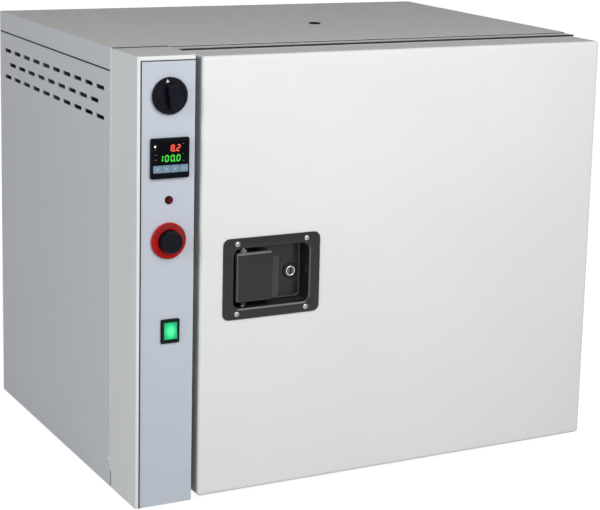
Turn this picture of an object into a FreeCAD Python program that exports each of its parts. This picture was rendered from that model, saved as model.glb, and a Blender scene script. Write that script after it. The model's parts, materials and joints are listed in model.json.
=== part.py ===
"""Bench dry heat sterilizer: a sheet metal cabinet, an insulated chamber and a side-hung door.

Lengths are in millimetres. Each piece is drawn from the control column's outer corner: X runs
right from the column's left side, Y runs back from its front and Z runs up from the cabinet's
underside. The placements then move everything so that the origin is under the middle of the whole.
"""
import FreeCAD, Part
import math
import os
import Sketcher
import sys
from FreeCAD import Rotation, Vector

SIZES = {
    # Cabinet
    "column_wide": 73,
    "frame_deep": 21,
    "skin": 1.5,
    "fold": 2,
    "front_fold": 1.2,
    "cover_lip": 28,
    "seam": 1.6,
    "tongue": 16,
    "fit": 0.3,
    "base_rim": 18,
    "base_clear": 3,
    "top_clear": 4,
    "corner_notch": 22,
    "notch_wide": 2.5,
    # Fascia let into the column
    "border_side": 6,
    "border_top": 5,
    "fascia_recess": 2,
    "fascia_thick": 1.5,
    "fascia_gap": 1.3,
    # Vent slots in the left side
    "slot_long": 27.5,
    "slot_tall": 5.3,
    "slot_round": 2.3,
    "slot_pitch": 39.7,
    "slot_row_drop": 18.3,
    "slot_behind": 36,
    "slot_end": 30,
    "slot_drop": 52,
    "rear_slot_wide": 4,
    "rear_slot_tall": 46,
    "rear_slot_pitch": 14,
    "rear_slot_rise": 30,
    # Feet
    "foot_tall": 12,
    "foot_r": 15,
    "foot_inset": 42,
    # Door
    "door_gap": 9,
    "door_overlap": 13.5,
    "door_inset": 3,
    "door_drop": 2.5,
    "door_lift": 2,
    "door_bend": 4.5,
    "door_round": 5,
    "seal_space": 13,
    "plug_reach": 12,
    "plug_gap": 7,
    "plug_round": 14,
    "gasket_wide": 17,
    "gasket_inset": 6,
    "gasket_round": 5,
    # Chamber
    "chamber_wide": 450,
    "chamber_tall": 400,
    "chamber_deep": 330,
    "liner": 1,
    "liner_flange": 14,
    "lagging": 48,
    # Air baffle, fan and heater behind it
    "plenum": 54,
    "baffle_return": 20,
    "vent_slot_long": 58,
    "vent_slot_tall": 9,
    "vent_slot_pitch": 36,
    "vent_slot_inset": 24,
    "intake_r": 52,
    "intake_hub_r": 24,
    "intake_slot_wide": 9,
    "fan_r": 70,
    "fan_hub_r": 12,
    "fan_deep": 26,
    "fan_plate": 1.2,
    "fan_back_gap": 10,
    "blade_root_r": 34,
    "blade_bow_r": 40,
    "blade_sweep": 20,
    "shaft_r": 4,
    "shaft_way_r": 9,
    "running": 0.05,
    "motor_r": 38,
    "motor_long": 50,
    "motor_flange": 92,
    "motor_flange_thick": 3,
    "motor_hub_r": 16,
    "motor_hub_long": 7,
    "motor_clear": 8.5,
    "heater_r": 96,
    "heater_tube_r": 4,
    "heater_leg_x": 24,
    "heater_terminal": 10,
    # Sensors
    "sensor_behind": 34,
    "probe_r": 2.5,
    "probe_long": 70,
    "probe_drop": 36,
    "probe_nut_r": 7,
    "probe_nut_long": 8,
    "bulb_r": 3.2,
    "bulb_long": 70,
    "capillary_r": 1,
    "capillary_bend": 24,
    # Racks and wire shelves
    "rack_gauge": 1.5,
    "rack_front_gap": 14,
    "rack_back_gap": 6,
    "ledge_reach": 15,
    "ledge_first": 60,
    "ledge_pitch": 70,
    "window_rim": 16,
    "wire_r": 1.6,
    "rod_r": 3,
    "shelf_side_gap": 6,
    "shelf_end_gap": 12,
    # Port through the top
    "port_r": 7,
    "port_left": 5,
    "port_behind": 33,
    "port_wall": 1,
    "bay_plate_behind": 20,
    "bay_plate_short": 18,
    "bay_plate_rise": 10,
    # Electrical bay
    "relay_tall": 80,
    "relay_long": 60,
    "relay_deep": 30,
    "relay_behind": 96,
    "relay_up": 120,
    "fin_gap": 6,
    "fin_pitch": 10,
    "fin_deep": 18,
    "inlet_x": 46,
    "inlet_z": 62,
    "inlet_wide": 50,
    "inlet_tall": 30,
    "inlet_flange": 2.5,
    "inlet_body_rim": 2,
    "inlet_deep": 34,
    "socket_wide": 24,
    "socket_tall": 16.5,
    "socket_deep": 17,
    "socket_shift": 9,
    "socket_pin_wide": 4,
    "socket_pin_thick": 2,
    "socket_pin_long": 11,
    "socket_pin_pitch": 7,
    # Selector knob and its switch
    "knob_r": 22.2,
    "dial_shift": 3.5,
    "selector_drop": 47,
    "knob_tall": 15,
    "knob_gap": 1.5,
    "knob_skirt": 4.5,
    "knob_skirt_in": 1.5,
    "knob_crown": 6.3,
    "knob_bore": 10,
    "knob_crown_r": 17,
    "grip_wide": 13,
    "grip_long": 30,
    "grip_round": 4.3,
    "spindle_r": 3,
    "spindle_clear": 0.02,
    "spindle_gap": 2,
    "bushing_r": 4.8,
    "bushing_out": 1,
    "panel_hole_r": 5,
    "switch_block": 40,
    "switch_block_deep": 30,
    # Temperature controller
    "controller_size": 48,
    "controller_shift": 4,
    "controller_drop": 120.8,
    "controller_proud": 5,
    "controller_body": 44.6,
    "controller_hole": 45,
    "controller_deep": 72,
    "controller_round": 1.5,
    "window_wide": 41,
    "window_top": 3.6,
    "window_tall": 26.6,
    "window_deep": 1,
    "window_thick": 0.8,
    "key_wide": 10.6,
    "key_tall": 8.7,
    "key_gap": 0.5,
    "key_thick": 2.2,
    "key_proud": 0.6,
    "key_well": 3,
    "key_bottom": 7.3,
    "release_wide": 8,
    "release_tall": 1.5,
    "release_up": 2,
    # Pilot lamp
    "lamp_r": 4.8,
    "lamp_shift": 4,
    "lamp_drop": 171.6,
    "lamp_proud": 3,
    "lamp_body_r": 4.6,
    "lamp_deep": 30,
    # Over-temperature dial
    "limit_dial_r": 22,
    "limit_drop": 220.6,
    "limit_dial_thick": 3,
    "limit_knob_r": 14.5,
    "limit_knob_tall": 11,
    "limit_knob_taper": 1.5,
    "limit_bore": 8,
    "flute_r": 1.6,
    "flute_out": 0.5,
    "limit_block": 36,
    "limit_block_deep": 28,
    # Power rocker
    "bezel_wide": 24,
    "rocker_shift": 6.7,
    "rocker_drop": 332.1,
    "bezel_tall": 30,
    "bezel_proud": 2.5,
    "bezel_round": 2,
    "bezel_body_wide": 20.5,
    "bezel_body_tall": 26.8,
    "bezel_deep": 28,
    "rocker_wide": 16.6,
    "rocker_r": 11.1,
    "rocker_pivot_y": 2,
    "rocker_slack": 0.35,
    "rocker_crest": 4.9,
    "rocker_flush": 0.6,
    "rocker_rise": 2.9,
    "rocker_back": 7,
    "trunnion_r": 1.5,
    "trunnion_long": 1,
    # Flush latch in the door
    "tray_wide": 131.4,
    "tray_in": 95.2,
    "tray_drop": 1.15,
    "tray_tall": 101.8,
    "tray_round": 8.5,
    "tray_flange": 1.5,
    "well_wide": 102.2,
    "well_tall": 74.7,
    "well_round": 10,
    "well_deep": 22,
    "tray_screw_dx": 93.8,
    "tray_screw_dz": 87.7,
    "screw_hole_r": 2.2,
    "screw_shank_r": 2,
    "screw_head_r": 4,
    "screw_head": 1.6,
    "screw_long": 7,
    "paddle_wide": 48.5,
    "paddle_left": 46.7,
    "paddle_low": 31.1,
    "paddle_tall": 60.4,
    "paddle_thick": 2.5,
    "paddle_proud": 0.4,
    "paddle_deep": 9,
    "paddle_round": 1.6,
    "paddle_lip_x": 10,
    "paddle_lip_y": 8,
    "paddle_corner": 7,
    "ear_r": 4.6,
    "pivot_in": 11.5,
    "pivot_y": 8,
    "pin_r": 2.5,
    "pin_proud": 1.2,
    "crank_half": 2,
    "crank_root": 4,
    "crank_tall": 6,
    "bolt_thick": 6,
    "bolt_clear": 1.5,
    "bolt_tall": 22,
    "bolt_reach": 9,
    "bolt_tail": 18,
    "bolt_bevel": 4,
    "bolt_window": 3.4,
    "bolt_lift": 1,
    "guide_thick": 10,
    "guide_rim": 7,
    "guide_x": 12,
    "strike_thick": 2,
    "strike_rim": 12,
    "lock_ring_r": 10,
    "lock_right": 35.8,
    "lock_drop": 2.1,
    "lock_ring": 2.5,
    "lock_barrel_r": 9.2,
    "lock_long": 20,
    "plug_r": 6,
    "keyway_wide": 1.8,
    "keyway_tall": 8,
    "keyway_deep": 8,
    "cam_long": 20,
    "cam_wide": 8,
    "cam_thick": 2,
    "cam_clear": 4.2,
    # Hinges on the right
    "hinge_out": 10,
    "hinge_back": 12,
    "knuckle_r": 7,
    "hinge_pin_r": 4,
    "leaf_thick": 3,
    "leaf_tall": 60,
    "leaf_long": 40,
    "hinge_inset": 80,
    "web": 3,
}

KNURL_COUNT = 20
BLADE_COUNT = 12
INTAKE_COUNT = 12
SHELF_LEVELS = {"shelf_lower": 1, "shelf_upper": 3}
SHELF_WIRES = 13
WINDOW_COLUMNS = 3
KEY_COUNT = 4
REAR_SLOTS = 12
DRAFT_ANGLE = 4
KNOB_TURN = -8
BOTTOM_ANGLE = 90


class Size:
    """A length that carries both its value and the way it is worked out from the sheet."""

    def __init__(self, value, text):
        self.value = float(value)
        self.text = text

    def __float__(self):
        return self.value

    def joined(self, sign, other, value):
        return Size(value, f"({self.text} {sign} {sized(other).text})")

    def __add__(self, other):
        return self.joined("+", other, self.value + float(other))

    def __sub__(self, other):
        return self.joined("-", other, self.value - float(other))

    def __mul__(self, other):
        return self.joined("*", other, self.value * float(other))

    def __truediv__(self, other):
        return self.joined("/", other, self.value / float(other))

    def __neg__(self):
        return Size(-self.value, f"(-1 * {self.text})")

    def __radd__(self, other):
        return sized(other) + self

    def __rsub__(self, other):
        return sized(other) - self

    def __rmul__(self, other):
        return sized(other) * self


def sized(length):
    return length if isinstance(length, Size) else Size(length, repr(length))


def root(square):
    return Size(math.sqrt(float(square)), f"sqrt({square.text})")


# The document, its sheet of sizes and the features that read it

doc = FreeCAD.newDocument("Sterilizer")
sheet = doc.addObject("Spreadsheet::Sheet", "Sizes")
for row, (alias, number) in enumerate(SIZES.items(), 1):
    sheet.set(f"A{row}", alias)
    sheet.set(f"B{row}", str(number))
    sheet.setAlias(f"B{row}", alias)
doc.recompute()
S = type("Lengths", (), {alias: Size(number, "Sizes." + alias) for alias, number in SIZES.items()})

FACES = {"front": ("XZ_Plane", -1), "side": ("YZ_Plane", 1), "plan": ("XY_Plane", 1)}
PIECES = []


def bind(thing, prop, length):
    thing.setExpression(prop, sized(length).text)


def piece(label, x=0, y=0, z=0, turn=0):
    """An empty body whose own origin stands at x, y, z in the cabinet's corner frame."""
    body = doc.addObject("PartDesign::Body", label)
    body.Label = label
    body.AllowCompound = True
    body.Placement.Rotation = Rotation(Vector(0, 1, 0), turn)
    for axis, place, origin in zip("xyz", (x, y, z), ORIGIN):
        bind(body, f"Placement.Base.{axis}", sized(place) - origin)
    PIECES.append(body)
    return body


def hold(sketch, shape, point, x, y):
    """Fix one point of a sketch by its distances from the sketch's origin."""
    for kind, place in (("DistanceX", sized(x)), ("DistanceY", sized(y))):
        number = sketch.addConstraint(Sketcher.Constraint(kind, -1, 1, shape, point, place.value))
        sketch.setExpression(f"Constraints[{number}]", place.text)


def measure(sketch, kind, shape, length):
    number = sketch.addConstraint(Sketcher.Constraint(kind, shape, float(length)))
    sketch.setExpression(f"Constraints[{number}]", sized(length).text)


def join(sketch, first, second):
    sketch.addConstraint(Sketcher.Constraint("Coincident", first, 2, second, 1))


def flat(point):
    return Vector(float(point[0]), float(point[1]), 0)


def outline(*points):
    """A closed run of straight lines."""
    def draw(sketch):
        first = sketch.GeometryCount
        for here, there in zip(points, points[1:] + points[:1]):
            sketch.addGeometry(Part.LineSegment(flat(here), flat(there)), False)
        for number, point in enumerate(points):
            join(sketch, first + number, first + (number + 1) % len(points))
            hold(sketch, first + number, 1, *point)
    return draw


def box(x1, y1, x2, y2):
    return outline((x1, y1), (x2, y1), (x2, y2), (x1, y2))


def centred(x, y, wide, tall):
    return box(x - wide / 2, y - tall / 2, x + wide / 2, y + tall / 2)


def disc(x, y, radius):
    def draw(sketch):
        circle = Part.Circle(flat((x, y)), Vector(0, 0, 1), float(radius))
        number = sketch.addGeometry(circle, False)
        hold(sketch, number, 3, x, y)
        measure(sketch, "Radius", number, radius)
    return draw


def rounded(x1, y1, x2, y2, radius):
    """A rectangle with an arc at each corner."""
    x1, y1, x2, y2, radius = (sized(length) for length in (x1, y1, x2, y2, radius))
    runs = (((x1 + radius, y1), (x2 - radius, y1)), ((x2, y1 + radius), (x2, y2 - radius)),
            ((x2 - radius, y2), (x1 + radius, y2)), ((x1, y2 - radius), (x1, y1 + radius)))
    centres = ((x2 - radius, y1 + radius), (x2 - radius, y2 - radius),
               (x1 + radius, y2 - radius), (x1 + radius, y1 + radius))

    def draw(sketch):
        first = sketch.GeometryCount
        for start, stop in runs:
            sketch.addGeometry(Part.LineSegment(flat(start), flat(stop)), False)
        for number, centre in enumerate(centres):
            circle = Part.Circle(flat(centre), Vector(0, 0, 1), float(radius))
            turn = (number - 1) * math.pi / 2
            sketch.addGeometry(Part.ArcOfCircle(circle, turn, turn + math.pi / 2), False)
        for number, (start, stop) in enumerate(runs):
            arc = first + 4 + number
            hold(sketch, first + number, 1, *start)
            hold(sketch, first + number, 2, *stop)
            join(sketch, first + number, arc)
            join(sketch, arc, first + (number + 1) % 4)
            place = centres[number][0]
            held = sketch.addConstraint(Sketcher.Constraint("DistanceX", -1, 1, arc, 3, place.value))
            sketch.setExpression(f"Constraints[{held}]", place.text)
    return draw


def rounded_about(x, y, wide, tall, radius):
    return rounded(x - wide / 2, y - tall / 2, x + wide / 2, y + tall / 2, radius)


def sketched(body, name, face, lift, drawings):
    role, sign = FACES[face]
    sketch = body.newObject("Sketcher::SketchObject", name + "_sketch")
    plane = next(item for item in body.Origin.OriginFeatures if item.Role == role)
    sketch.AttachmentSupport = [(plane, "")]
    sketch.MapMode = "FlatFace"
    bind(sketch, "AttachmentOffset.Base.z", sized(lift) * sign)
    for draw in drawings:
        draw(sketch)
    return sketch


def pad(body, name, face, start, stop, *drawings, taper=0, from_front=False):
    """Fill the drawn outlines from start to stop, measured square to the face."""
    lift = start if FACES[face][1] > 0 or from_front else stop
    feature = body.newObject("PartDesign::Pad", name)
    feature.Profile = sketched(body, name, face, lift, drawings)
    feature.Reversed = from_front
    bind(feature, "Length", sized(stop) - start)
    feature.TaperAngle = taper
    body.Tip = feature
    return feature


def cut(body, name, face, start, stop, *drawings, taper=0):
    """Cut the drawn outlines away from start to stop, measured square to the face."""
    lift = stop if FACES[face][1] > 0 else start
    feature = body.newObject("PartDesign::Pocket", name)
    feature.Profile = sketched(body, name, face, lift, drawings)
    bind(feature, "Length", sized(stop) - start)
    feature.TaperAngle = taper
    body.Tip = feature
    return feature


def turned(body, name, face, *drawings, angle=360, groove=False):
    """Spin the drawn outlines about the sketch's upright axis."""
    kind = "PartDesign::Groove" if groove else "PartDesign::Revolution"
    feature = body.newObject(kind, name)
    feature.Profile = sketched(body, name, face, 0, drawings)
    feature.ReferenceAxis = (feature.Profile[0], ["V_Axis"])
    feature.Angle = angle
    body.Tip = feature
    return feature


def in_a_row(body, name, feature, axis, count, length):
    """Repeat a feature along an axis of its own sketch."""
    pattern = body.newObject("PartDesign::LinearPattern", name)
    pattern.Originals = [feature]
    pattern.Direction = (feature.Profile[0], [axis])
    pattern.Occurrences = count
    bind(pattern, "Length", length)
    body.Tip = pattern
    return pattern


def in_a_ring(body, name, feature, count):
    """Repeat a feature round the axis square to its own sketch."""
    pattern = body.newObject("PartDesign::PolarPattern", name)
    pattern.Originals = [feature]
    pattern.Axis = (feature.Profile[0], ["N_Axis"])
    pattern.Angle = 360
    pattern.Occurrences = count
    body.Tip = pattern
    return pattern


def softened(body, name, radius, wanted):
    """Round the edges of the piece so far that the test picks out."""
    doc.recompute()
    base = body.Tip
    edges = [f"Edge{number}" for number, edge in enumerate(base.Shape.Edges, 1)
             if wanted(edge.BoundBox, base.Shape.BoundBox)]
    feature = body.newObject("PartDesign::Fillet", name)
    feature.Base = (base, edges)
    bind(feature, "Radius", radius)
    body.Tip = feature
    return feature


def at_front(edge, whole):
    return edge.YMax - whole.YMin < sys.float_info.epsilon ** 0.5


def at_back(edge, whole):
    return whole.YMax - edge.YMin < sys.float_info.epsilon ** 0.5


def on(edge_side, whole_side):
    return abs(edge_side - whole_side) < sys.float_info.epsilon ** 0.5


# Planes and centres that the pieces share

bolt_front = S.well_deep + S.tray_flange + S.bolt_clear
bolt_back = bolt_front + S.bolt_thick
crank_r = bolt_back - S.pivot_y
door_thick = S.well_deep + S.lock_long + S.fit + S.cam_thick + S.cam_clear + S.skin
door_left = S.column_wide + S.door_gap
door_wide = S.chamber_wide + (S.liner + S.lagging + S.door_overlap) * 2
door_right = door_left + door_wide
rim_y = door_thick - S.skin
face_y = door_thick + S.seal_space
column_deep = face_y + S.frame_deep

chamber_x = door_left + door_wide / 2
left_x = chamber_x - S.chamber_wide / 2
right_x = chamber_x + S.chamber_wide / 2
low_z = S.base_rim + S.base_clear + S.lagging + S.liner
high_z = low_z + S.chamber_tall
middle_z = low_z + S.chamber_tall / 2
back_y = face_y + S.chamber_deep
baffle_y = back_y - S.plenum
lag_left = left_x - S.liner - S.lagging
lag_back = back_y + S.liner + S.lagging
sensor_y = baffle_y + S.sensor_behind
bay_face = lag_left - S.skin

total_wide = door_right + S.door_inset
total_tall = high_z + S.liner + S.lagging + S.top_clear + S.cover_lip
motor_back = lag_back + S.motor_flange_thick + S.motor_long
total_deep = motor_back + S.motor_hub_long + S.motor_clear + S.skin
door_top = total_tall - S.door_drop
cover_z = total_tall - S.cover_lip
side_top = cover_z - S.seam
inside_right = total_wide - S.skin
inside_back = total_deep - S.skin

hinge_x = total_wide + S.hinge_out
hinge_y = door_thick + S.hinge_back
column_face = S.fascia_recess + S.skin
fascia_y = S.fascia_recess - S.fascia_thick
knob_y = fascia_y - S.knob_gap
ORIGIN = ((hinge_x + S.knuckle_r) / 2,
          (total_deep + S.inlet_flange + knob_y - S.knob_tall) / 2,
          -S.foot_tall)

dial_x = S.column_wide / 2 + S.dial_shift
controller_x = S.column_wide / 2 + S.controller_shift
lamp_x = S.column_wide / 2 + S.lamp_shift
rocker_x = S.column_wide / 2 + S.rocker_shift
selector_z = total_tall - S.selector_drop
controller_z = total_tall - S.controller_drop
lamp_z = total_tall - S.lamp_drop
limit_z = total_tall - S.limit_drop
rocker_z = total_tall - S.rocker_drop

tray_x = door_left + S.tray_in
tray_z = (S.door_lift + door_top) / 2 - S.tray_drop
paddle_x = tray_x - S.paddle_left
paddle_z = tray_z - S.paddle_low
lock_x = tray_x + S.lock_right
lock_z = tray_z - S.lock_drop
bolt_z = tray_z + S.bolt_lift
pivot_x = paddle_x + S.pivot_in

port_x = chamber_x - S.port_left
port_y = (face_y + back_y) / 2 + S.port_behind
port_out_r = S.port_r + S.port_wall
probe_z = high_z - S.probe_drop
fan_back = back_y - S.fan_back_gap
fan_front = fan_back - S.fan_deep
leg_drop = root(S.heater_r * S.heater_r - S.heater_leg_x * S.heater_leg_x)
bay_plate_y = column_deep + S.bay_plate_behind
relay_y = bay_plate_y + S.relay_behind
relay_z = low_z - S.bay_plate_rise + S.relay_up


def how_many(room, pitch):
    """How many copies, one pitch apart, have their centres within the room."""
    return math.floor(float(room) / float(pitch)) + 1


def mouth(grow):
    """The chamber's mouth, grown by a margin all round."""
    return (left_x - grow, low_z - grow, right_x + grow, high_z + grow)


# Cabinet sheet metal

def control_column():
    body = piece("control_column")
    pad(body, "block", "front", 0, column_deep, box(0, 0, S.column_wide, total_tall))
    softened(body, "bends", S.fold, lambda edge, whole: on(edge.YMax, whole.YMin)
             and (on(edge.XMax, whole.XMin) or on(edge.ZMin, whole.ZMax)))
    cut(body, "hollow", "front", column_face, column_deep,
        box(S.skin, S.skin, S.column_wide - S.skin, total_tall - S.skin))
    cut(body, "recess", "front", 0, S.fascia_recess,
        box(S.border_side, 0, S.column_wide, total_tall - S.border_top))
    cut(body, "openings", "front", 0, column_face, *panel_holes())
    cut(body, "bolt_way", "side", S.column_wide - S.skin, S.column_wide, bolt_window(S.bolt_lift))
    cut(body, "corner_notch", "side", 0, S.skin,
        box(column_deep - S.notch_wide, 0, column_deep, S.corner_notch))


def panel_holes():
    """What is cut alike through the column's face and the fascia."""
    return (disc(dial_x, selector_z, S.panel_hole_r),
            centred(controller_x, controller_z, S.controller_hole, S.controller_hole),
            disc(lamp_x, lamp_z, S.panel_hole_r),
            disc(dial_x, limit_z, S.panel_hole_r),
            centred(rocker_x, rocker_z, S.bezel_body_wide + S.fit, S.bezel_body_tall + S.fit))


def bolt_window(grow):
    """An opening round the latch bolt, in a plate square to X."""
    return box(bolt_front - grow, bolt_z - S.bolt_tall / 2 - grow,
               bolt_back + grow, bolt_z + S.bolt_tall / 2 + grow)


def fascia():
    body = piece("fascia")
    pad(body, "plate", "front", fascia_y, S.fascia_recess,
        box(S.border_side + S.fascia_gap, 0, S.column_wide, total_tall - S.border_top - S.fascia_gap))
    cut(body, "openings", "front", fascia_y, S.fascia_recess, *panel_holes())


def front_frame():
    body = piece("front_frame")
    top = total_tall - S.skin
    pad(body, "block", "front", face_y, column_deep, box(S.column_wide, 0, total_wide, top))
    softened(body, "bends", S.fold, lambda edge, whole: on(edge.YMax, whole.YMin)
             and (on(edge.XMin, whole.XMax) or on(edge.ZMin, whole.ZMax)))
    cut(body, "hollow", "front", face_y + S.skin, column_deep,
        box(S.column_wide + S.skin, S.skin, total_wide - S.skin, top - S.skin))
    cut(body, "mouth", "front", face_y, face_y + S.skin, box(*mouth(S.liner + S.fit)))


def top_cover():
    body = piece("top_cover")
    pad(body, "block", "plan", cover_z, total_tall, box(0, column_deep, total_wide, total_deep))
    softened(body, "bends", S.fold, lambda edge, whole: not on(edge.YMax, whole.YMin)
             and on(edge.ZMin, whole.ZMax))
    softened(body, "front_folds", S.front_fold, lambda edge, whole: on(edge.YMax, whole.YMin)
             and on(edge.XMin, edge.XMax))
    cut(body, "hollow", "plan", cover_z, total_tall - S.skin,
        box(S.skin, column_deep + S.skin, total_wide - S.skin, total_deep - S.skin))
    cut(body, "port", "plan", total_tall - S.skin, total_tall, disc(port_x, port_y, S.port_r))


def side_panel(label, edge, way):
    """A side sheet with a stepped tongue at its top that lies behind the cover's lip."""
    inner = edge + way * S.skin
    tongue_out = inner + way * S.fit
    tongue_in = tongue_out + way * S.skin
    clear = S.skin + S.fit
    body = piece(label)
    pad(body, "sheet", "front", column_deep, total_deep, box(edge, 0, inner, side_top))
    softened(body, "front_fold", S.front_fold, lambda line, whole: on(line.YMax, whole.YMin)
             and on(line.XMin, line.XMax) and on(line.XMax, whole.XMin if way > 0 else whole.XMax))
    pad(body, "tongue", "front", column_deep + clear, total_deep - clear,
        outline((inner, side_top - S.skin), (tongue_in, side_top - S.skin),
                (tongue_in, side_top + S.tongue), (tongue_out, side_top + S.tongue),
                (tongue_out, side_top), (inner, side_top)))
    return body


def side_panel_left():
    body = side_panel("side_panel_left", sized(0), 1)
    slot_first = column_deep + S.slot_behind
    full = how_many(total_deep - S.slot_end - slot_first, S.slot_pitch)
    for row, (shift, count) in enumerate(((0, full), (S.slot_pitch / 2, full - 1), (0, full))):
        slot = cut(body, f"slot_{row}", "side", 0, S.skin,
                   rounded_about(slot_first + shift, total_tall - S.slot_drop - row * S.slot_row_drop,
                                 S.slot_long, S.slot_tall, S.slot_round))
        in_a_row(body, f"slot_row_{row}", slot, "H_Axis", count, (count - 1) * S.slot_pitch)


def base_pan():
    body = piece("base_pan")
    pad(body, "block", "plan", 0, S.base_rim, box(S.skin, column_deep, inside_right, inside_back))
    cut(body, "hollow", "plan", S.skin, S.base_rim,
        box(S.skin * 2, column_deep + S.skin, inside_right - S.skin, inside_back - S.skin))


def rear_panel():
    body = piece("rear_panel")
    pad(body, "sheet", "front", inside_back, total_deep, box(S.skin, 0, inside_right, side_top))
    cut(body, "inlet_hole", "front", inside_back, total_deep,
        centred(S.inlet_x, S.inlet_z, S.inlet_wide - S.inlet_body_rim * 2,
                S.inlet_tall - S.inlet_body_rim * 2))
    run = (REAR_SLOTS - 1) * S.rear_slot_pitch
    slot = cut(body, "slot", "front", inside_back, total_deep,
               centred(chamber_x - run / 2, middle_z + S.rear_slot_rise, S.rear_slot_wide, S.rear_slot_tall))
    in_a_row(body, "slots", slot, "H_Axis", REAR_SLOTS, run)


def feet():
    """Four round feet that widen towards the base pan."""
    body = piece("feet")
    places = [(x, y) for x in (S.foot_inset, total_wide - S.foot_inset)
              for y in (column_deep + S.foot_inset / 2, total_deep - S.foot_inset)]
    pad(body, "cones", "plan", -S.foot_tall, 0, *(disc(x, y, S.foot_r) for x, y in places),
        taper=DRAFT_ANGLE)


# Chamber

def chamber_liner():
    """Five sheets that meet at the chamber's corners; four have a flange turned out round the mouth."""
    body = piece("chamber_liner")
    gap = S.fit
    bend = face_y + S.skin
    end = back_y + S.liner
    thick = S.liner

    def sheet_side(wall, way):
        """A sheet's section along the depth, seen square to it, with its flange."""
        out = wall + way * thick
        tip = wall + way * S.liner_flange
        return ((face_y, wall), (end, wall), (end, out), (bend + thick, out), (bend + thick, tip), (bend, tip),
                (bend, out), (face_y, out))

    pad(body, "roof", "side", left_x - thick, right_x + thick, outline(*sheet_side(high_z, 1)))
    pad(body, "floor", "side", left_x - thick, right_x + thick, outline(*sheet_side(low_z, -1)))
    for name, wall, way in (("left", left_x, -1), ("right", right_x, 1)):
        pad(body, name, "plan", low_z + gap, high_z - gap,
            outline(*((across, along) for along, across in sheet_side(wall, way))))
    pad(body, "back", "front", back_y, end, box(left_x + gap, low_z + gap, right_x - gap, high_z - gap))
    cut(body, "back_holes", "front", back_y, end,
        disc(chamber_x, middle_z, S.shaft_way_r), *heater_legs(S.heater_tube_r + S.fit))
    cut(body, "port", "plan", high_z, high_z + thick, disc(port_x, port_y, port_out_r + S.fit))
    cut(body, "sensor_holes", "side", left_x - thick, left_x, *sensor_holes(S.fit))


def heater_legs(radius):
    return [disc(chamber_x + side * S.heater_leg_x, middle_z - leg_drop, radius) for side in (-1, 1)]


def sensor_holes(grow):
    return (disc(sensor_y, probe_z, S.probe_r + grow), disc(sensor_y, limit_z, S.bulb_r + grow))


def chamber_insulation():
    body = piece("chamber_insulation")
    start = face_y + S.skin + S.liner + S.fit
    pad(body, "block", "front", start, lag_back, box(*mouth(S.liner + S.lagging)))
    cut(body, "hollow", "front", start, back_y + S.liner + S.fit, box(*mouth(S.liner + S.fit)))
    cut(body, "back_holes", "front", back_y, lag_back,
        disc(chamber_x, middle_z, S.shaft_way_r), *heater_legs(S.heater_tube_r + S.fit))
    cut(body, "port", "plan", high_z, high_z + S.liner + S.lagging,
        disc(port_x, port_y, port_out_r + S.fit))
    cut(body, "sensor_holes", "side", lag_left, left_x, *sensor_holes(S.fit))


def vent_tube():
    body = piece("vent_tube")
    pad(body, "tube", "plan", high_z, total_tall - S.skin, disc(port_x, port_y, port_out_r))
    cut(body, "bore", "plan", high_z, total_tall - S.skin, disc(port_x, port_y, S.port_r))


def air_baffle():
    """A plate across the chamber with a ring of intake slots and a ladder of outlets at each side."""
    body = piece("air_baffle", chamber_x, 0, middle_z)
    half_wide = S.chamber_wide / 2
    half_tall = S.chamber_tall / 2
    pad(body, "pan", "front", baffle_y, baffle_y + S.baffle_return,
        box(-half_wide, -half_tall, half_wide, half_tall))
    cut(body, "hollow", "front", baffle_y + S.liner, baffle_y + S.baffle_return,
        box(-half_wide + S.liner, -half_tall + S.liner, half_wide - S.liner, half_tall - S.liner))
    count = how_many(S.chamber_tall - S.vent_slot_inset * 2, S.vent_slot_pitch)
    run = (count - 1) * S.vent_slot_pitch
    for side in (-1, 1):
        near = side * (half_wide - S.vent_slot_inset - S.vent_slot_long / 2)
        slot = cut(body, "left_outlet" if side < 0 else "right_outlet", "front", baffle_y,
                   baffle_y + S.liner, centred(near, -run / 2, S.vent_slot_long, S.vent_slot_tall))
        in_a_row(body, "left_outlets" if side < 0 else "right_outlets", slot, "V_Axis", count, run)
    slot = cut(body, "intake", "front", baffle_y, baffle_y + S.liner,
               box(S.intake_hub_r, -S.intake_slot_wide / 2, S.intake_r, S.intake_slot_wide / 2))
    in_a_ring(body, "intakes", slot, INTAKE_COUNT)


def bowed_blade():
    """A strip that bows from the hub side to the rim, drawn as two arcs closed by two lines."""
    root, rim, sweep = S.blade_root_r, S.fan_r - S.fan_plate * 2, S.blade_sweep
    points = ((root, sized(0)), (root, S.fan_plate), (rim - sweep / 3, sweep + S.fan_plate),
              (rim - sweep / 3, sweep))
    bow = S.blade_bow_r

    def arc(start, stop, radius):
        one, two = flat(start), flat(stop)
        middle = (one + two) / 2
        reach = two - one
        aside = Vector(reach.y, -reach.x, 0).normalize()
        rise = float(radius) - math.sqrt(float(radius) ** 2 - (reach.Length / 2) ** 2)
        return Part.Arc(one, middle + aside * rise, two)

    def draw(sketch):
        first = sketch.GeometryCount
        sketch.addGeometry(Part.LineSegment(flat(points[1]), flat(points[0])), False)
        sketch.addGeometry(arc(points[0], points[3], bow), False)
        sketch.addGeometry(Part.LineSegment(flat(points[3]), flat(points[2])), False)
        sketch.addGeometry(arc(points[1], points[2], bow), False)
        hold(sketch, first, 1, *points[1])
        hold(sketch, first, 2, *points[0])
        hold(sketch, first + 2, 1, *points[3])
        hold(sketch, first + 2, 2, *points[2])
        for number, ends in ((1, ((first, 2), (first + 2, 1))), (3, ((first, 1), (first + 2, 2)))):
            for point, (line, end) in enumerate(ends, 1):
                sketch.addConstraint(Sketcher.Constraint("Coincident", line, end, first + number, point))
            measure(sketch, "Radius", first + number, bow)
    return draw


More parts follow.
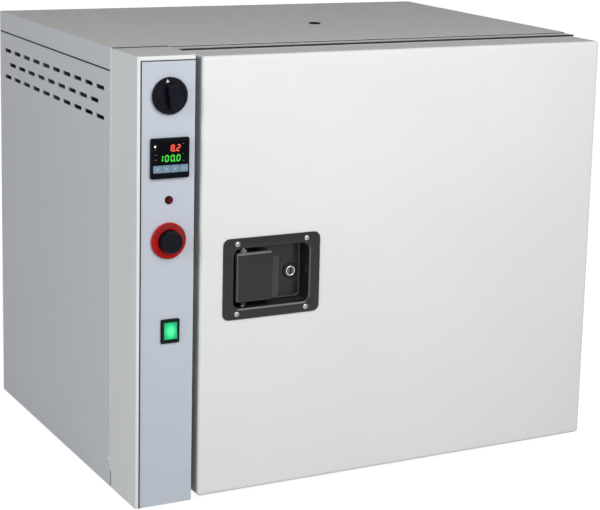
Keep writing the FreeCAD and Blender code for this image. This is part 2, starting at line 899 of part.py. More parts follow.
def fan_wheel():
    """Backward curved blades between a back plate and an open front."""
    body = piece("fan_wheel", chamber_x, 0, middle_z)
    pad(body, "back_plate", "front", fan_back - S.fan_plate, fan_back, disc(0, 0, S.fan_r))
    pad(body, "hub", "front", fan_front, fan_back, disc(0, 0, S.fan_hub_r))
    blade = pad(body, "blade", "front", fan_front, fan_back, bowed_blade())
    in_a_ring(body, "blades", blade, BLADE_COUNT)
    cut(body, "bore", "front", fan_front, fan_back, disc(0, 0, S.shaft_r))


def fan_shaft():
    body = piece("fan_shaft", chamber_x, 0, middle_z)
    pad(body, "rod", "front", fan_front, lag_back + S.motor_long / 2, disc(0, 0, S.shaft_r))


def fan_motor():
    body = piece("fan_motor", chamber_x, 0, middle_z)
    pad(body, "flange", "front", lag_back, lag_back + S.motor_flange_thick,
        rounded_about(sized(0), sized(0), S.motor_flange, S.motor_flange, S.motor_hub_r / 2))
    pad(body, "case", "front", lag_back, motor_back, disc(0, 0, S.motor_r))
    softened(body, "case_round", S.fold * 2, lambda edge, whole: on(edge.YMin, whole.YMax))
    pad(body, "bearing_cap", "front", motor_back, motor_back + S.motor_hub_long, disc(0, 0, S.motor_hub_r))
    cut(body, "bore", "front", lag_back, lag_back + S.motor_long / 2 + S.motor_flange_thick,
        disc(0, 0, S.shaft_r + S.running))


def heater_element():
    """A tube bent round the fan with two straight legs out through the chamber's back."""
    body = piece("heater_element", chamber_x, 0, middle_z)
    ring_y = (fan_front + fan_back) / 2
    gap = 2 * math.degrees(math.atan2(float(S.heater_leg_x), float(leg_drop)))
    ring = turned(body, "ring", "plan", disc(S.heater_r, ring_y, S.heater_tube_r), angle=360 - gap)
    ring.Profile[0].AttachmentOffset.Rotation = Rotation(Vector(0, 1, 0), BOTTOM_ANGLE + gap / 2)
    pad(body, "legs", "front", ring_y, lag_back + S.heater_terminal,
        *(disc(side * S.heater_leg_x, -leg_drop, S.heater_tube_r) for side in (-1, 1)))


def rack(label, wall, way):
    """A pressed side rack: an upright sheet with a ledge for each shelf level."""
    body = piece(label)
    inner = wall + way * S.rack_gauge
    tip = wall + way * S.ledge_reach
    count = how_many(S.chamber_tall - S.ledge_first - S.window_rim * 2, S.ledge_pitch)
    top = S.ledge_first + (count - 1) * S.ledge_pitch + S.window_rim * 2
    points = [(wall, low_z), (inner, low_z)]
    for level in range(count):
        ledge = low_z + S.ledge_first + level * S.ledge_pitch
        points += [(inner, ledge - S.rack_gauge), (tip, ledge - S.rack_gauge), (tip, ledge), (inner, ledge)]
    points += [(inner, low_z + top), (wall, low_z + top)]
    start = face_y + S.rack_front_gap
    stop = baffle_y - S.rack_back_gap
    pad(body, "comb", "front", start, stop, outline(*points))
    bay = (stop - start - S.window_rim) / WINDOW_COLUMNS
    windows = []
    for level in range(count - 1):
        bottom = low_z + S.ledge_first + level * S.ledge_pitch + S.window_rim
        for column in range(WINDOW_COLUMNS):
            near = start + S.window_rim + column * bay
            windows.append(box(near, bottom, near + bay - S.window_rim,
                               bottom + S.ledge_pitch - S.window_rim * 2 - S.rack_gauge))
    first, last = sorted((wall, inner), key=float)
    cut(body, "windows", "side", first, last, *windows)


def shelf(label, level):
    """A wire shelf: three cross rods and two side rods under a row of thinner wires."""
    body = piece(label)
    rod_z = low_z + S.ledge_first + level * S.ledge_pitch + S.rod_r + S.fit
    left = left_x + S.shelf_side_gap
    right = right_x - S.shelf_side_gap
    front = face_y + S.rack_front_gap + S.shelf_end_gap
    back = baffle_y - S.rack_back_gap - S.shelf_end_gap
    rods = [disc(y, rod_z, S.rod_r) for y in (front, (front + back) / 2, back)]
    pad(body, "cross_rods", "side", left, right, *rods)
    pad(body, "side_rods", "front", front - S.rod_r, back + S.rod_r,
        disc(left, rod_z, S.rod_r), disc(right, rod_z, S.rod_r))
    pitch = (right - left) / (SHELF_WIRES + 1)
    wire_z = rod_z + S.rod_r + S.wire_r - S.fit
    pad(body, "wires", "front", front - S.rod_r, back + S.rod_r,
        *(disc(left + (number + 1) * pitch, wire_z, S.wire_r) for number in range(SHELF_WIRES)))


def temperature_probe():
    body = piece("temperature_probe", 0, sensor_y, probe_z)
    pad(body, "sheath", "side", bay_face - S.probe_nut_long, left_x + S.probe_long, disc(0, 0, S.probe_r))
    pad(body, "nut", "side", bay_face - S.probe_nut_long, bay_face, disc(0, 0, S.probe_nut_r))


def limit_sensor():
    """A liquid filled bulb in the chamber and the thin tube that runs from it to the thermostat."""
    body = piece("limit_sensor", 0, 0, limit_z)
    start = column_face + S.limit_block_deep
    bend = S.capillary_bend
    path = body.newObject("Sketcher::SketchObject", "route")
    plane = next(item for item in body.Origin.OriginFeatures if item.Role == "XY_Plane")
    path.AttachmentSupport = [(plane, "")]
    path.MapMode = "FlatFace"
    turn = ((dial_x, sensor_y - bend), (dial_x + bend, sensor_y))
    path.addGeometry(Part.LineSegment(flat((dial_x, start)), flat(turn[0])), False)
    circle = Part.Circle(flat((turn[1][0], turn[0][1])), Vector(0, 0, 1), float(bend))
    path.addGeometry(Part.ArcOfCircle(circle, math.pi / 2, math.pi), False)
    path.addGeometry(Part.LineSegment(flat(turn[1]), flat((left_x, sensor_y))), False)
    hold(path, 0, 1, dial_x, start)
    hold(path, 0, 2, *turn[0])
    hold(path, 2, 1, *turn[1])
    hold(path, 2, 2, left_x, sensor_y)
    path.addConstraint(Sketcher.Constraint("Coincident", 0, 2, 1, 2))
    path.addConstraint(Sketcher.Constraint("Coincident", 1, 1, 2, 1))
    held = path.addConstraint(Sketcher.Constraint("DistanceX", -1, 1, 1, 3, float(turn[1][0])))
    path.setExpression(f"Constraints[{held}]", turn[1][0].text)
    pipe = body.newObject("PartDesign::AdditivePipe", "capillary")
    pipe.Profile = sketched(body, "capillary", "front", start, (disc(dial_x, 0, S.capillary_r),))
    pipe.Spine = (path, [])
    body.Tip = pipe
    pad(body, "bulb", "side", left_x - S.liner, left_x + S.bulb_long, disc(sensor_y, 0, S.bulb_r))


# Electrical bay beside the chamber

def component_plate():
    body = piece("component_plate")
    pad(body, "sheet", "side", bay_face, lag_left,
        box(bay_plate_y, low_z - S.bay_plate_rise, lag_back - S.bay_plate_short, high_z + S.bay_plate_rise))
    cut(body, "sensor_holes", "side", bay_face, lag_left, *sensor_holes(S.fit))


def power_relay():
    """A solid state relay with a finned back."""
    body = piece("power_relay")
    pad(body, "block", "side", bay_face - S.relay_deep, bay_face,
        box(relay_y, relay_z, relay_y + S.relay_long, relay_z + S.relay_tall))
    count = math.floor(float(S.relay_long) / float(S.fin_pitch))
    margin = (S.relay_long - (count - 1) * S.fin_pitch) / 2
    groove = cut(body, "fin_gap", "side", bay_face - S.relay_deep, bay_face - S.relay_deep + S.fin_deep,
                 box(relay_y + margin - S.fin_gap / 2, relay_z, relay_y + margin + S.fin_gap / 2,
                     relay_z + S.relay_tall))
    in_a_row(body, "fin_gaps", groove, "H_Axis", count, (count - 1) * S.fin_pitch)


def mains_inlet():
    """A panel socket for a detachable lead, with its fuse drawer beside it."""
    body = piece("mains_inlet", S.inlet_x, total_deep, S.inlet_z)
    half_wide = S.inlet_wide / 2
    pad(body, "flange", "front", 0, S.inlet_flange,
        rounded_about(sized(0), sized(0), S.inlet_wide, S.inlet_tall, S.inlet_flange))
    rim = S.inlet_body_rim * 2 + S.fit
    pad(body, "case", "front", -S.inlet_deep, 0,
        centred(sized(0), sized(0), S.inlet_wide - rim, S.inlet_tall - rim))
    mouth_x = S.socket_shift
    cut(body, "socket", "front", S.inlet_flange - S.socket_deep, S.inlet_flange,
        centred(mouth_x, sized(0), S.socket_wide, S.socket_tall))
    floor = S.inlet_flange - S.socket_deep
    pins = [centred(mouth_x + side * S.socket_pin_pitch, -S.socket_pin_thick, S.socket_pin_thick,
                    S.socket_pin_wide) for side in (-1, 1)]
    pins.append(centred(mouth_x, S.socket_pin_wide, S.socket_pin_thick, S.socket_pin_wide))
    pad(body, "pins", "front", floor, floor + S.socket_pin_long, *pins)
    drawer = -half_wide + (half_wide + mouth_x - S.socket_wide / 2) / 2
    cut(body, "drawer_line", "front", S.inlet_flange - S.skin, S.inlet_flange,
        centred(drawer, sized(0), S.socket_tall / 2, S.socket_wide / 2))


# Controls on the fascia

def switch_base(label, z, block, deep, spindle_in):
    """A rear block with the threaded bushing that clamps it to the panel."""
    body = piece(label, dial_x, 0, z)
    pad(body, "block", "front", column_face, column_face + deep,
        rounded_about(sized(0), sized(0), block, block, S.controller_round))
    pad(body, "bushing", "front", fascia_y - S.bushing_out, column_face, disc(0, 0, S.bushing_r))
    cut(body, "bore", "front", fascia_y - S.bushing_out, spindle_in, disc(0, 0, S.spindle_r + S.running))


def spindle(label, z, start, stop):
    body = piece(label, dial_x, 0, z)
    pad(body, "rod", "front", start, stop, disc(0, 0, S.spindle_r))


spindle_end = column_face + S.switch_block_deep / 2
limit_end = column_face + S.limit_block_deep / 2


def selector_knob():
    """A round skirt, a low crown and a tapered bar grip across it."""
    body = piece("selector_knob", dial_x, knob_y, selector_z, turn=KNOB_TURN)
    skirt = S.knob_skirt
    turned(body, "skirt", "plan",
           outline((0, 0), (S.knob_r, 0), (S.knob_r, -skirt / 2), (S.knob_r - S.knob_skirt_in, -skirt),
                   (S.knob_crown_r, -skirt), (S.knob_crown_r - S.knob_skirt_in, -S.knob_crown),
                   (0, -S.knob_crown)))
    pad(body, "grip", "front", -S.knob_tall, -skirt / 2,
        rounded_about(sized(0), sized(0), S.grip_wide, S.grip_long, S.grip_round), taper=-DRAFT_ANGLE)
    softened(body, "grip_round", S.knob_skirt_in, lambda edge, whole: on(edge.YMax, whole.YMin))
    cut(body, "bore", "front", -S.knob_bore, 0, disc(0, 0, S.spindle_r + S.spindle_clear))


def controller_case():
    body = piece("controller_case", controller_x, fascia_y, controller_z)
    zero = sized(0)
    pad(body, "bezel", "front", -S.controller_proud, 0,
        rounded_about(zero, zero, S.controller_size, S.controller_size, S.controller_round))
    softened(body, "bezel_edge", S.controller_round / 2, lambda edge, whole: on(edge.YMax, whole.YMin))
    pad(body, "housing", "front", 0, S.controller_deep,
        centred(zero, zero, S.controller_body, S.controller_body))
    cut(body, "window_seat", "front", -S.controller_proud, -S.controller_proud + S.window_deep,
        box(*window_outline(0)))
    well = key_row_wide / 2 + S.key_gap
    cut(body, "key_well", "front", -S.controller_proud, -S.controller_proud + S.key_well,
        box(-well, key_floor - S.key_gap, well, key_floor + S.key_tall + S.key_gap))
    cut(body, "release_slot", "front", -S.controller_proud, -S.controller_proud + S.window_deep,
        centred(zero, S.release_up - S.controller_size / 2, S.release_wide, S.release_tall))


key_row_wide = S.key_wide * KEY_COUNT + S.key_gap * (KEY_COUNT - 1)
key_floor = -S.controller_size / 2 + S.key_bottom


def window_outline(shrink):
    top = S.controller_size / 2 - S.window_top - shrink
    return (-S.window_wide / 2 + shrink, top - S.window_tall + shrink, S.window_wide / 2 - shrink, top)


def controller_window():
    body = piece("controller_window", controller_x, fascia_y, controller_z)
    floor = -S.controller_proud + S.window_deep
    pad(body, "lens", "front", floor - S.window_thick, floor, box(*window_outline(S.running)))


def controller_key(number):
    left = -key_row_wide / 2 + (number - 1) * (S.key_wide + S.key_gap)
    body = piece(f"controller_key_{number}", controller_x, fascia_y - S.controller_proud, controller_z)
    pad(body, "cap", "front", -S.key_proud, S.key_thick - S.key_proud,
        rounded(left, key_floor, left + S.key_wide, key_floor + S.key_tall, S.key_gap))


def pilot_lamp():
    """A domed lens on a barrel that passes through the panel."""
    body = piece("pilot_lamp", lamp_x, fascia_y, lamp_z)
    turned(body, "lamp", "plan",
           outline((0, S.lamp_deep), (0, -S.lamp_proud), (S.lamp_r / 2, -S.lamp_proud),
                   (S.lamp_r, -S.lamp_proud / 2), (S.lamp_r, 0), (S.lamp_body_r, 0),
                   (S.lamp_body_r, S.lamp_deep)))
    softened(body, "dome", S.lamp_proud / 4, lambda edge, whole: on(edge.YMax, whole.YMin))


def limit_dial():
    body = piece("limit_dial", dial_x, knob_y, limit_z)
    turned(body, "disc", "plan",
           outline((0, 0), (S.limit_dial_r, 0), (S.limit_dial_r, -S.limit_dial_thick / 2),
                   (S.limit_dial_r - S.limit_dial_thick / 2, -S.limit_dial_thick),
                   (0, -S.limit_dial_thick)))
    cut(body, "bore", "front", -S.limit_dial_thick, 0, disc(0, 0, S.spindle_r + S.spindle_clear))


def limit_knob():
    """A slightly tapered knob with flutes round its side."""
    body = piece("limit_knob", dial_x, knob_y - S.limit_dial_thick, limit_z)
    tall = S.limit_knob_tall
    turned(body, "cap", "plan",
           outline((0, 0), (S.limit_knob_r, 0), (S.limit_knob_r - S.limit_knob_taper, -tall), (0, -tall)))
    softened(body, "cap_edge", S.limit_knob_taper, lambda edge, whole: on(edge.YMax, whole.YMin))
    flute = cut(body, "flute", "front", -tall, -S.limit_knob_taper,
                disc(S.limit_knob_r + S.flute_out, 0, S.flute_r))
    in_a_ring(body, "flutes", flute, KNURL_COUNT)
    cut(body, "bore", "front", -S.limit_bore, 0, disc(0, 0, S.spindle_r + S.spindle_clear))


def switch_bezel():
    body = piece("switch_bezel", rocker_x, fascia_y, rocker_z)
    zero = sized(0)
    pad(body, "frame", "front", -S.bezel_proud, 0,
        rounded_about(zero, zero, S.bezel_wide, S.bezel_tall, S.bezel_round))
    softened(body, "frame_edge", S.bezel_round / 2, lambda edge, whole: on(edge.YMax, whole.YMin))
    pad(body, "housing", "front", 0, S.bezel_deep, centred(zero, zero, S.bezel_body_wide, S.bezel_body_tall))
    depth = S.rocker_pivot_y + S.rocker_r + S.rocker_slack * 2
    cut(body, "cavity", "front", -S.bezel_proud, depth,
        centred(zero, zero, S.rocker_wide + S.rocker_slack * 2, (S.rocker_r + S.rocker_slack) * 2))
    reach = S.rocker_wide / 2 + S.trunnion_long + S.rocker_slack
    cut(body, "trunnion_bores", "side", -reach, reach, disc(S.rocker_pivot_y, 0, S.trunnion_r + S.running))


def switch_rocker():
    """A slice of a drum about the pivot, faced off by two planes that meet at a low crest."""
    body = piece("switch_rocker", rocker_x, fascia_y, rocker_z)
    half = S.rocker_wide / 2
    far = S.rocker_r * 2
    pivot = S.rocker_pivot_y
    crest = pivot - S.rocker_crest
    pad(body, "drum", "side", -half, half, disc(pivot, 0, S.rocker_r))
    cut(body, "faces", "side", -half, half,
        outline((crest + S.rocker_flush, far), (crest, 0), (crest - S.rocker_rise, -far),
                (crest - far, -far), (crest - far, far)))
    cut(body, "back", "side", -half, half, box(pivot + S.rocker_back, -far, pivot + far, far))
    reach = half + S.trunnion_long
    pad(body, "trunnions", "side", -reach, reach, disc(pivot, 0, S.trunnion_r))


# Door

def door_skin():
    """The folded outer pan of the door with its opening for the latch."""
    body = piece("door_skin")
    pad(body, "block", "front", 0, rim_y, rounded(door_left, S.door_lift, door_right, door_top, S.door_round))
    softened(body, "bends", S.door_bend, at_front)
    inset = S.skin
    cut(body, "hollow", "front", inset, rim_y,
        rounded(door_left + inset, S.door_lift + inset, door_right - inset, door_top - inset,
                S.door_round - inset))
    softened(body, "inner_bends", S.door_bend - inset,
             lambda edge, whole: on(edge.YMin, float(inset)) and on(edge.YMax, float(inset)))
    cut(body, "latch_hole", "front", 0, inset,
        rounded_about(tray_x, tray_z, S.well_wide + S.tray_flange * 4, S.well_tall + S.tray_flange * 4,
                      S.well_round))
    cut(body, "screw_holes", "front", 0, inset, *tray_screw_places(S.screw_hole_r))
    cut(body, "bolt_way", "side", door_left, door_left + inset, bolt_window(S.bolt_lift))


def tray_screw_places(radius):
    return [disc(tray_x + side * S.tray_screw_dx / 2, tray_z + end * S.tray_screw_dz / 2, radius)
            for side in (-1, 1) for end in (-1, 1)]


def door_inner_panel():
    """The inner sheet of the door, pressed out into a plug that enters the chamber's mouth."""
    body = piece("door_inner_panel")
    edge = S.skin
    pad(body, "sheet", "front", rim_y, door_thick,
        rounded(door_left + edge, S.door_lift + edge, door_right - edge, door_top - edge, S.door_bend))
    deep = face_y + S.plug_reach
    pad(body, "plug", "front", door_thick, deep, rounded(*mouth(-S.plug_gap), S.plug_round))
    softened(body, "plug_edge", S.plug_reach / 3, at_back)
    cut(body, "plug_hollow", "front", rim_y, deep - S.skin,
        rounded(*mouth(-S.plug_gap - S.skin), S.plug_round))


def door_insulation():
    body = piece("door_insulation")
    gap = S.skin + S.fit
    pad(body, "slab", "front", gap, rim_y - S.fit,
        rounded(door_left + gap, S.door_lift + gap, door_right - gap, door_top - gap, S.door_bend))
    softened(body, "slab_front", S.door_bend - S.skin, at_front)
    pad(body, "plug_fill", "front", rim_y - S.fit, face_y + S.plug_reach - gap,
        rounded(*mouth(-S.plug_gap - gap), S.plug_round))
    room = S.guide_rim + S.fit
    cut(body, "latch_room", "front", gap, rim_y - S.fit,
        box(door_left, tray_z - S.tray_tall / 2 - room, tray_x + S.tray_wide / 2 + room,
            tray_z + S.tray_tall / 2 + room))


def door_gasket():
    body = piece("door_gasket")
    inner = S.gasket_inset
    outer = S.gasket_inset + S.gasket_wide
    pad(body, "ring", "front", door_thick, face_y - S.fit, rounded(*mouth(outer), outer))
    cut(body, "middle", "front", door_thick, face_y - S.fit, rounded(*mouth(inner), inner + S.plug_gap))
    softened(body, "lips", S.gasket_round, at_back)


def latch_tray():
    """A drafted well behind a flange, bored for the paddle's pin, the lock and the crank."""
    body = piece("latch_tray", tray_x, 0, tray_z)
    zero = sized(0)
    wall = S.tray_flange
    pad(body, "flange", "front", -wall, 0, rounded_about(zero, zero, S.tray_wide, S.tray_tall, S.tray_round))
    pad(body, "pan", "front", 0, S.well_deep + wall,
        rounded_about(zero, zero, S.well_wide + wall * 2, S.well_tall + wall * 2, S.well_round + wall),
        taper=-DRAFT_ANGLE, from_front=True)
    cut(body, "well", "front", -wall, S.well_deep,
        rounded_about(zero, zero, S.well_wide, S.well_tall, S.well_round), taper=-DRAFT_ANGLE)
    softened(body, "rims", wall / 2, at_front)
    side = pivot_x - tray_x
    swing = (crank_r + S.crank_half * 2) / 2
    cut(body, "crank_slot", "front", S.well_deep - wall, S.well_deep + wall,
        box(side - S.crank_root - S.bolt_lift, S.bolt_lift - S.crank_tall / 2 - S.bolt_lift,
            side + S.crank_root + swing, S.bolt_lift + S.crank_tall / 2 + S.bolt_lift))
    cut(body, "lock_hole", "front", S.well_deep - wall, S.well_deep + wall,
        disc(lock_x - tray_x, lock_z - tray_z, S.lock_barrel_r + S.fit))
    cut(body, "screw_holes", "front", -wall, 0,
        *(disc(side_way * S.tray_screw_dx / 2, end * S.tray_screw_dz / 2, S.screw_hole_r)
          for side_way in (-1, 1) for end in (-1, 1)))
    half = S.well_tall / 2 + wall * 2
    cut(body, "pin_bores", "plan", -half, half, disc(side, S.pivot_y, S.pin_r + S.running))


def tray_screws():
    body = piece("tray_screws")
    wall = S.tray_flange
    pad(body, "heads", "front", -wall - S.screw_head, -wall, *tray_screw_places(S.screw_head_r))
    softened(body, "domes", S.screw_head / 2, at_front)
    pad(body, "shanks", "front", -wall, S.screw_long, *tray_screw_places(S.screw_shank_r))


def latch_paddle():
    """A shallow pull cap with a slanted finger lip, a hinge barrel and the crank that drives the bolt."""
    body = piece("latch_paddle")
    low, high = paddle_z, paddle_z + S.paddle_tall
    left, right = paddle_x, paddle_x + S.paddle_wide
    front = -S.paddle_proud
    thick = S.paddle_thick
    back = front + thick
    rear = front + S.paddle_deep
    pad(body, "cap", "front", front, rear, box(left, low, right, high))
    softened(body, "cap_round", S.paddle_round,
             lambda edge, whole: (on(edge.YMax, whole.YMin) and not on(edge.XMin, whole.XMax))
             or (on(edge.XMax, whole.XMin) and on(edge.ZMin, edge.ZMax)))
    cut(body, "cap_hollow", "front", back, rear, box(left + thick, low + thick, right, high - thick))
    tip_x = right + S.paddle_lip_x
    tip_y = front + S.paddle_lip_y
    slant = root(S.paddle_lip_x * S.paddle_lip_x + S.paddle_lip_y * S.paddle_lip_y)
    mitre = thick * S.paddle_lip_y / (slant + S.paddle_lip_x)
    inner_x = tip_x - thick * S.paddle_lip_y / slant
    inner_y = tip_y + thick * S.paddle_lip_x / slant
    pad(body, "lip", "plan", low, high,
        outline((right - thick, front), (right, front), (tip_x, tip_y), (inner_x, inner_y),
                (right - mitre, back), (right - thick, back)))
    reach = S.paddle_lip_y + thick * 2
    corner = S.paddle_corner
    cut(body, "lip_corners", "front", front, front + reach,
        outline((right, high), (tip_x + corner, high), (tip_x + corner, high - corner),
                (tip_x, high - corner)),
        outline((right, low), (tip_x, low + corner), (tip_x + corner, low + corner), (tip_x + corner, low)))
    pad(body, "barrel_web", "plan", low, high,
        box(pivot_x - S.ear_r, back, pivot_x + S.ear_r, S.pivot_y))
    pad(body, "barrel", "plan", low, high, disc(pivot_x, S.pivot_y, S.ear_r))
    pad(body, "crank", "plan", bolt_z - S.crank_tall / 2, bolt_z + S.crank_tall / 2,
        outline((pivot_x - S.crank_root, back), (pivot_x + S.crank_root, back),
                (pivot_x + S.crank_half, S.pivot_y + crank_r),
                (pivot_x - S.crank_half, S.pivot_y + crank_r)))
    cut(body, "pin_bore", "plan", low, high, disc(pivot_x, S.pivot_y, S.pin_r + S.running))


def paddle_pin():
    body = piece("paddle_pin", pivot_x, S.pivot_y, tray_z)
    half = S.well_tall / 2 + S.pin_proud
    pad(body, "pin", "plan", -half, half, disc(0, 0, S.pin_r))


def latch_bolt():
    """A flat bolt with a bevelled nose and the window that the crank works in."""
    body = piece("latch_bolt", S.column_wide - S.bolt_reach, 0, bolt_z)
    nose = sized(0)
    tail = pivot_x + S.bolt_tail - (S.column_wide - S.bolt_reach)
    half = S.bolt_tall / 2
    pad(body, "bar", "front", bolt_front, bolt_back, box(nose, -half, tail, half))
    cut(body, "bevel", "plan", -half, half,
        outline((nose, bolt_back - S.bolt_bevel), (S.bolt_bevel, bolt_back), (nose, bolt_back)))
    cut(body, "window", "front", bolt_front, bolt_back,
        centred(pivot_x - (S.column_wide - S.bolt_reach), nose, S.bolt_window * 2,
                S.crank_tall + S.bolt_lift * 2))


def bolt_guide():
    body = piece("bolt_guide")
    left = door_left + S.guide_x
    low = bolt_z - S.bolt_tall / 2 - S.guide_rim
    high = bolt_z + S.bolt_tall / 2 + S.guide_rim
    pad(body, "block", "side", left, left + S.guide_thick,
        box(S.skin, low, bolt_back + S.guide_rim, high))
    cut(body, "bolt_way", "side", left, left + S.guide_thick, bolt_window(S.fit))
    cut(body, "relief", "side", left, left + S.guide_thick,
        box(S.skin + S.guide_rim, low + S.guide_rim, bolt_front - S.guide_rim, high - S.guide_rim))


def strike_plate():
    body = piece("strike_plate")
    outer = S.column_wide - S.skin
    pad(body, "plate", "side", outer - S.strike_thick, outer, bolt_window(S.strike_rim))
    cut(body, "window", "side", outer - S.strike_thick, outer, bolt_window(S.bolt_lift))


def lock_body():
    body = piece("lock_body", lock_x, S.well_deep, lock_z)
    pad(body, "barrel", "front", 0, S.lock_long, disc(0, 0, S.lock_barrel_r))
    pad(body, "nut", "front", S.tray_flange, S.tray_flange * 3, disc(0, 0, S.lock_ring_r + S.tray_flange))
    pad(body, "ring", "front", -S.lock_ring, 0, disc(0, 0, S.lock_ring_r))
    softened(body, "ring_edge", S.lock_ring / 3, at_front)
    cut(body, "bore", "front", -S.lock_ring, S.lock_long, disc(0, 0, S.plug_r + S.running))


def lock_plug():
    """The keyed barrel and, behind it, the cam that it turns."""
    body = piece("lock_plug", lock_x, S.well_deep, lock_z)
    stop = S.lock_long + S.fit
    pad(body, "barrel", "front", -S.lock_ring, stop, disc(0, 0, S.plug_r))
    cut(body, "keyway", "front", -S.lock_ring, -S.lock_ring + S.keyway_deep,
        centred(sized(0), sized(0), S.keyway_wide, S.keyway_tall))
    pad(body, "cam", "front", stop, stop + S.cam_thick,
        box(-S.cam_wide / 2, -S.cam_long, S.cam_wide / 2, S.cam_wide / 2))


# Hinges

HINGE_LEVELS = {"lower": S.door_lift + S.hinge_inset, "upper": door_top - S.hinge_inset}
leaf_half = S.leaf_tall / 2


def cabinet_leaf(level):
    """A leaf on the cabinet's side whose lower half carries the fixed knuckle."""
    body = piece(f"hinge_leaf_cabinet_{level}", 0, 0, HINGE_LEVELS[level])
    web_y = hinge_y + S.knuckle_r - S.web
    pad(body, "plate", "plan", -leaf_half, leaf_half,
        box(total_wide, web_y, total_wide + S.leaf_thick, web_y + S.leaf_long))
    pad(body, "web", "plan", -leaf_half, -S.fit, box(total_wide, web_y, hinge_x, web_y + S.web))
    pad(body, "knuckle", "plan", -leaf_half, -S.fit, disc(hinge_x, hinge_y, S.knuckle_r))
    cut(body, "bore", "plan", -leaf_half, -S.fit, disc(hinge_x, hinge_y, S.hinge_pin_r))


def door_leaf(level):
    """A leaf on the door's edge whose upper half turns on the pin."""
    body = piece(f"hinge_leaf_door_{level}", 0, 0, HINGE_LEVELS[level])
    web_y = hinge_y - S.knuckle_r
    pad(body, "plate", "plan", -leaf_half, leaf_half,
        box(door_right, web_y + S.web - S.leaf_long, door_right + S.leaf_thick, web_y + S.web))
    pad(body, "web", "plan", 0, leaf_half, box(door_right, web_y, hinge_x, web_y + S.web))
    pad(body, "knuckle", "plan", 0, leaf_half, disc(hinge_x, hinge_y, S.knuckle_r))
    cut(body, "bore", "plan", 0, leaf_half, disc(hinge_x, hinge_y, S.hinge_pin_r + S.running))


def hinge_pins():
    body = piece("hinge_pins", hinge_x, hinge_y, HINGE_LEVELS["lower"])
    pin = pad(body, "pin", "plan", -leaf_half, leaf_half, disc(0, 0, S.hinge_pin_r))
    in_a_row(body, "pins", pin, "N_Axis", 2, HINGE_LEVELS["upper"] - HINGE_LEVELS["lower"])


def all_pieces():
    control_column()
    fascia()
    front_frame()
    top_cover()
    side_panel_left()
    side_panel("side_panel_right", total_wide, -1)
    base_pan()
    rear_panel()
    feet()
    chamber_liner()
    chamber_insulation()
    vent_tube()
    air_baffle()
    fan_wheel()
    fan_shaft()
    fan_motor()
    heater_element()
    rack("rack_left", left_x, 1)
    rack("rack_right", right_x, -1)
    for label, level in SHELF_LEVELS.items():
        shelf(label, level)
    temperature_probe()
    limit_sensor()
    component_plate()
    power_relay()
    mains_inlet()
    switch_base("selector_switch", selector_z, S.switch_block, S.switch_block_deep, spindle_end)
    spindle("selector_shaft", selector_z, knob_y - S.knob_bore + S.spindle_gap, spindle_end - S.fit)
    selector_knob()
    controller_case()
    controller_window()
    for number in range(1, KEY_COUNT + 1):
        controller_key(number)
    pilot_lamp()
    switch_base("limit_thermostat", limit_z, S.limit_block, S.limit_block_deep, limit_end)
    spindle("limit_shaft", limit_z, knob_y - S.limit_dial_thick - S.limit_bore + S.spindle_gap,
            limit_end - S.fit)
    limit_dial()
    limit_knob()
    switch_bezel()
    switch_rocker()
    door_skin()
    door_inner_panel()
    door_insulation()
    door_gasket()
    latch_tray()
    tray_screws()
    latch_paddle()
    paddle_pin()
    latch_bolt()
    bolt_guide()
    strike_plate()
    lock_body()
    lock_plug()
    for level in HINGE_LEVELS:
        cabinet_leaf(level)
        door_leaf(level)
    hinge_pins()


def main():
    all_pieces()
    doc.recompute()
    failed = [item.Name for item in doc.Objects if {"Invalid", "Error"} & set(item.State)]
    for body in PIECES:
        if body.Shape.isNull() or not body.Shape.isValid() or not body.Shape.Solids:
            failed.append(body.Label)
    if failed:
        raise SystemExit("not built: " + ", ".join(failed))
    os.makedirs("parts", exist_ok=True)
    for body in PIECES:
        body.Shape.exportStep(os.path.join("parts", body.Label + ".step"))


main()
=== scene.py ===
"""Bench dry heat sterilizer: finishes, lit display, latch and small fittings round the solid model."""
import json
import math

import bpy
from mathutils import Matrix, Vector


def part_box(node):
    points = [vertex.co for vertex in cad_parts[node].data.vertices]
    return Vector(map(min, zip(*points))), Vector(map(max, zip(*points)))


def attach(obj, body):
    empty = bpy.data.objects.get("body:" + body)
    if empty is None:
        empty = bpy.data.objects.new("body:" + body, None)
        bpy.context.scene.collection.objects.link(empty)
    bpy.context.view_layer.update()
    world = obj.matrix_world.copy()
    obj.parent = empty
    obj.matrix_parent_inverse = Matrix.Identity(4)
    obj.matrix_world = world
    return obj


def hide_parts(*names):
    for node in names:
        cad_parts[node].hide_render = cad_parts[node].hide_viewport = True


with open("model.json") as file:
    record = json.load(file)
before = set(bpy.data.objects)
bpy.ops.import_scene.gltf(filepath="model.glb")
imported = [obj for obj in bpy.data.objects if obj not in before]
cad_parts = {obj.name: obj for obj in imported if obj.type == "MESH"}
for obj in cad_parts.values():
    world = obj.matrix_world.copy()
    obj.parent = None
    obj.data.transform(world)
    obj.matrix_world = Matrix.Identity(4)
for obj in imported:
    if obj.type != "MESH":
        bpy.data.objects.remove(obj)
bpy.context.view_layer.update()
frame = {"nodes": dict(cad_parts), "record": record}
bpy.ops.object.select_all(action="DESELECT")

MM = 0.001
HALF_TURN = math.pi
QUARTER = math.pi / 2
FACING_FRONT = (QUARTER, 0, 0)
# The frame's origin, in millimetres from the control column's lower front corner
ORIGIN = Vector((338.5, 249.25, -12))


def at(x, y, z):
    """A place given in millimetres from the control column's lower front corner."""
    return (Vector((x, y, z)) - ORIGIN) * MM


def box_of(node):
    """A node's lowest and highest corners at rest, in metres."""
    return tuple(Vector(corner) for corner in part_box(node))


def middle_of(node):
    low, high = box_of(node)
    return (low + high) / 2


def front_of(node):
    """The middle of a node's front face."""
    place = middle_of(node)
    place.y = box_of(node)[0].y
    return place


# Camera, lamps and backdrop

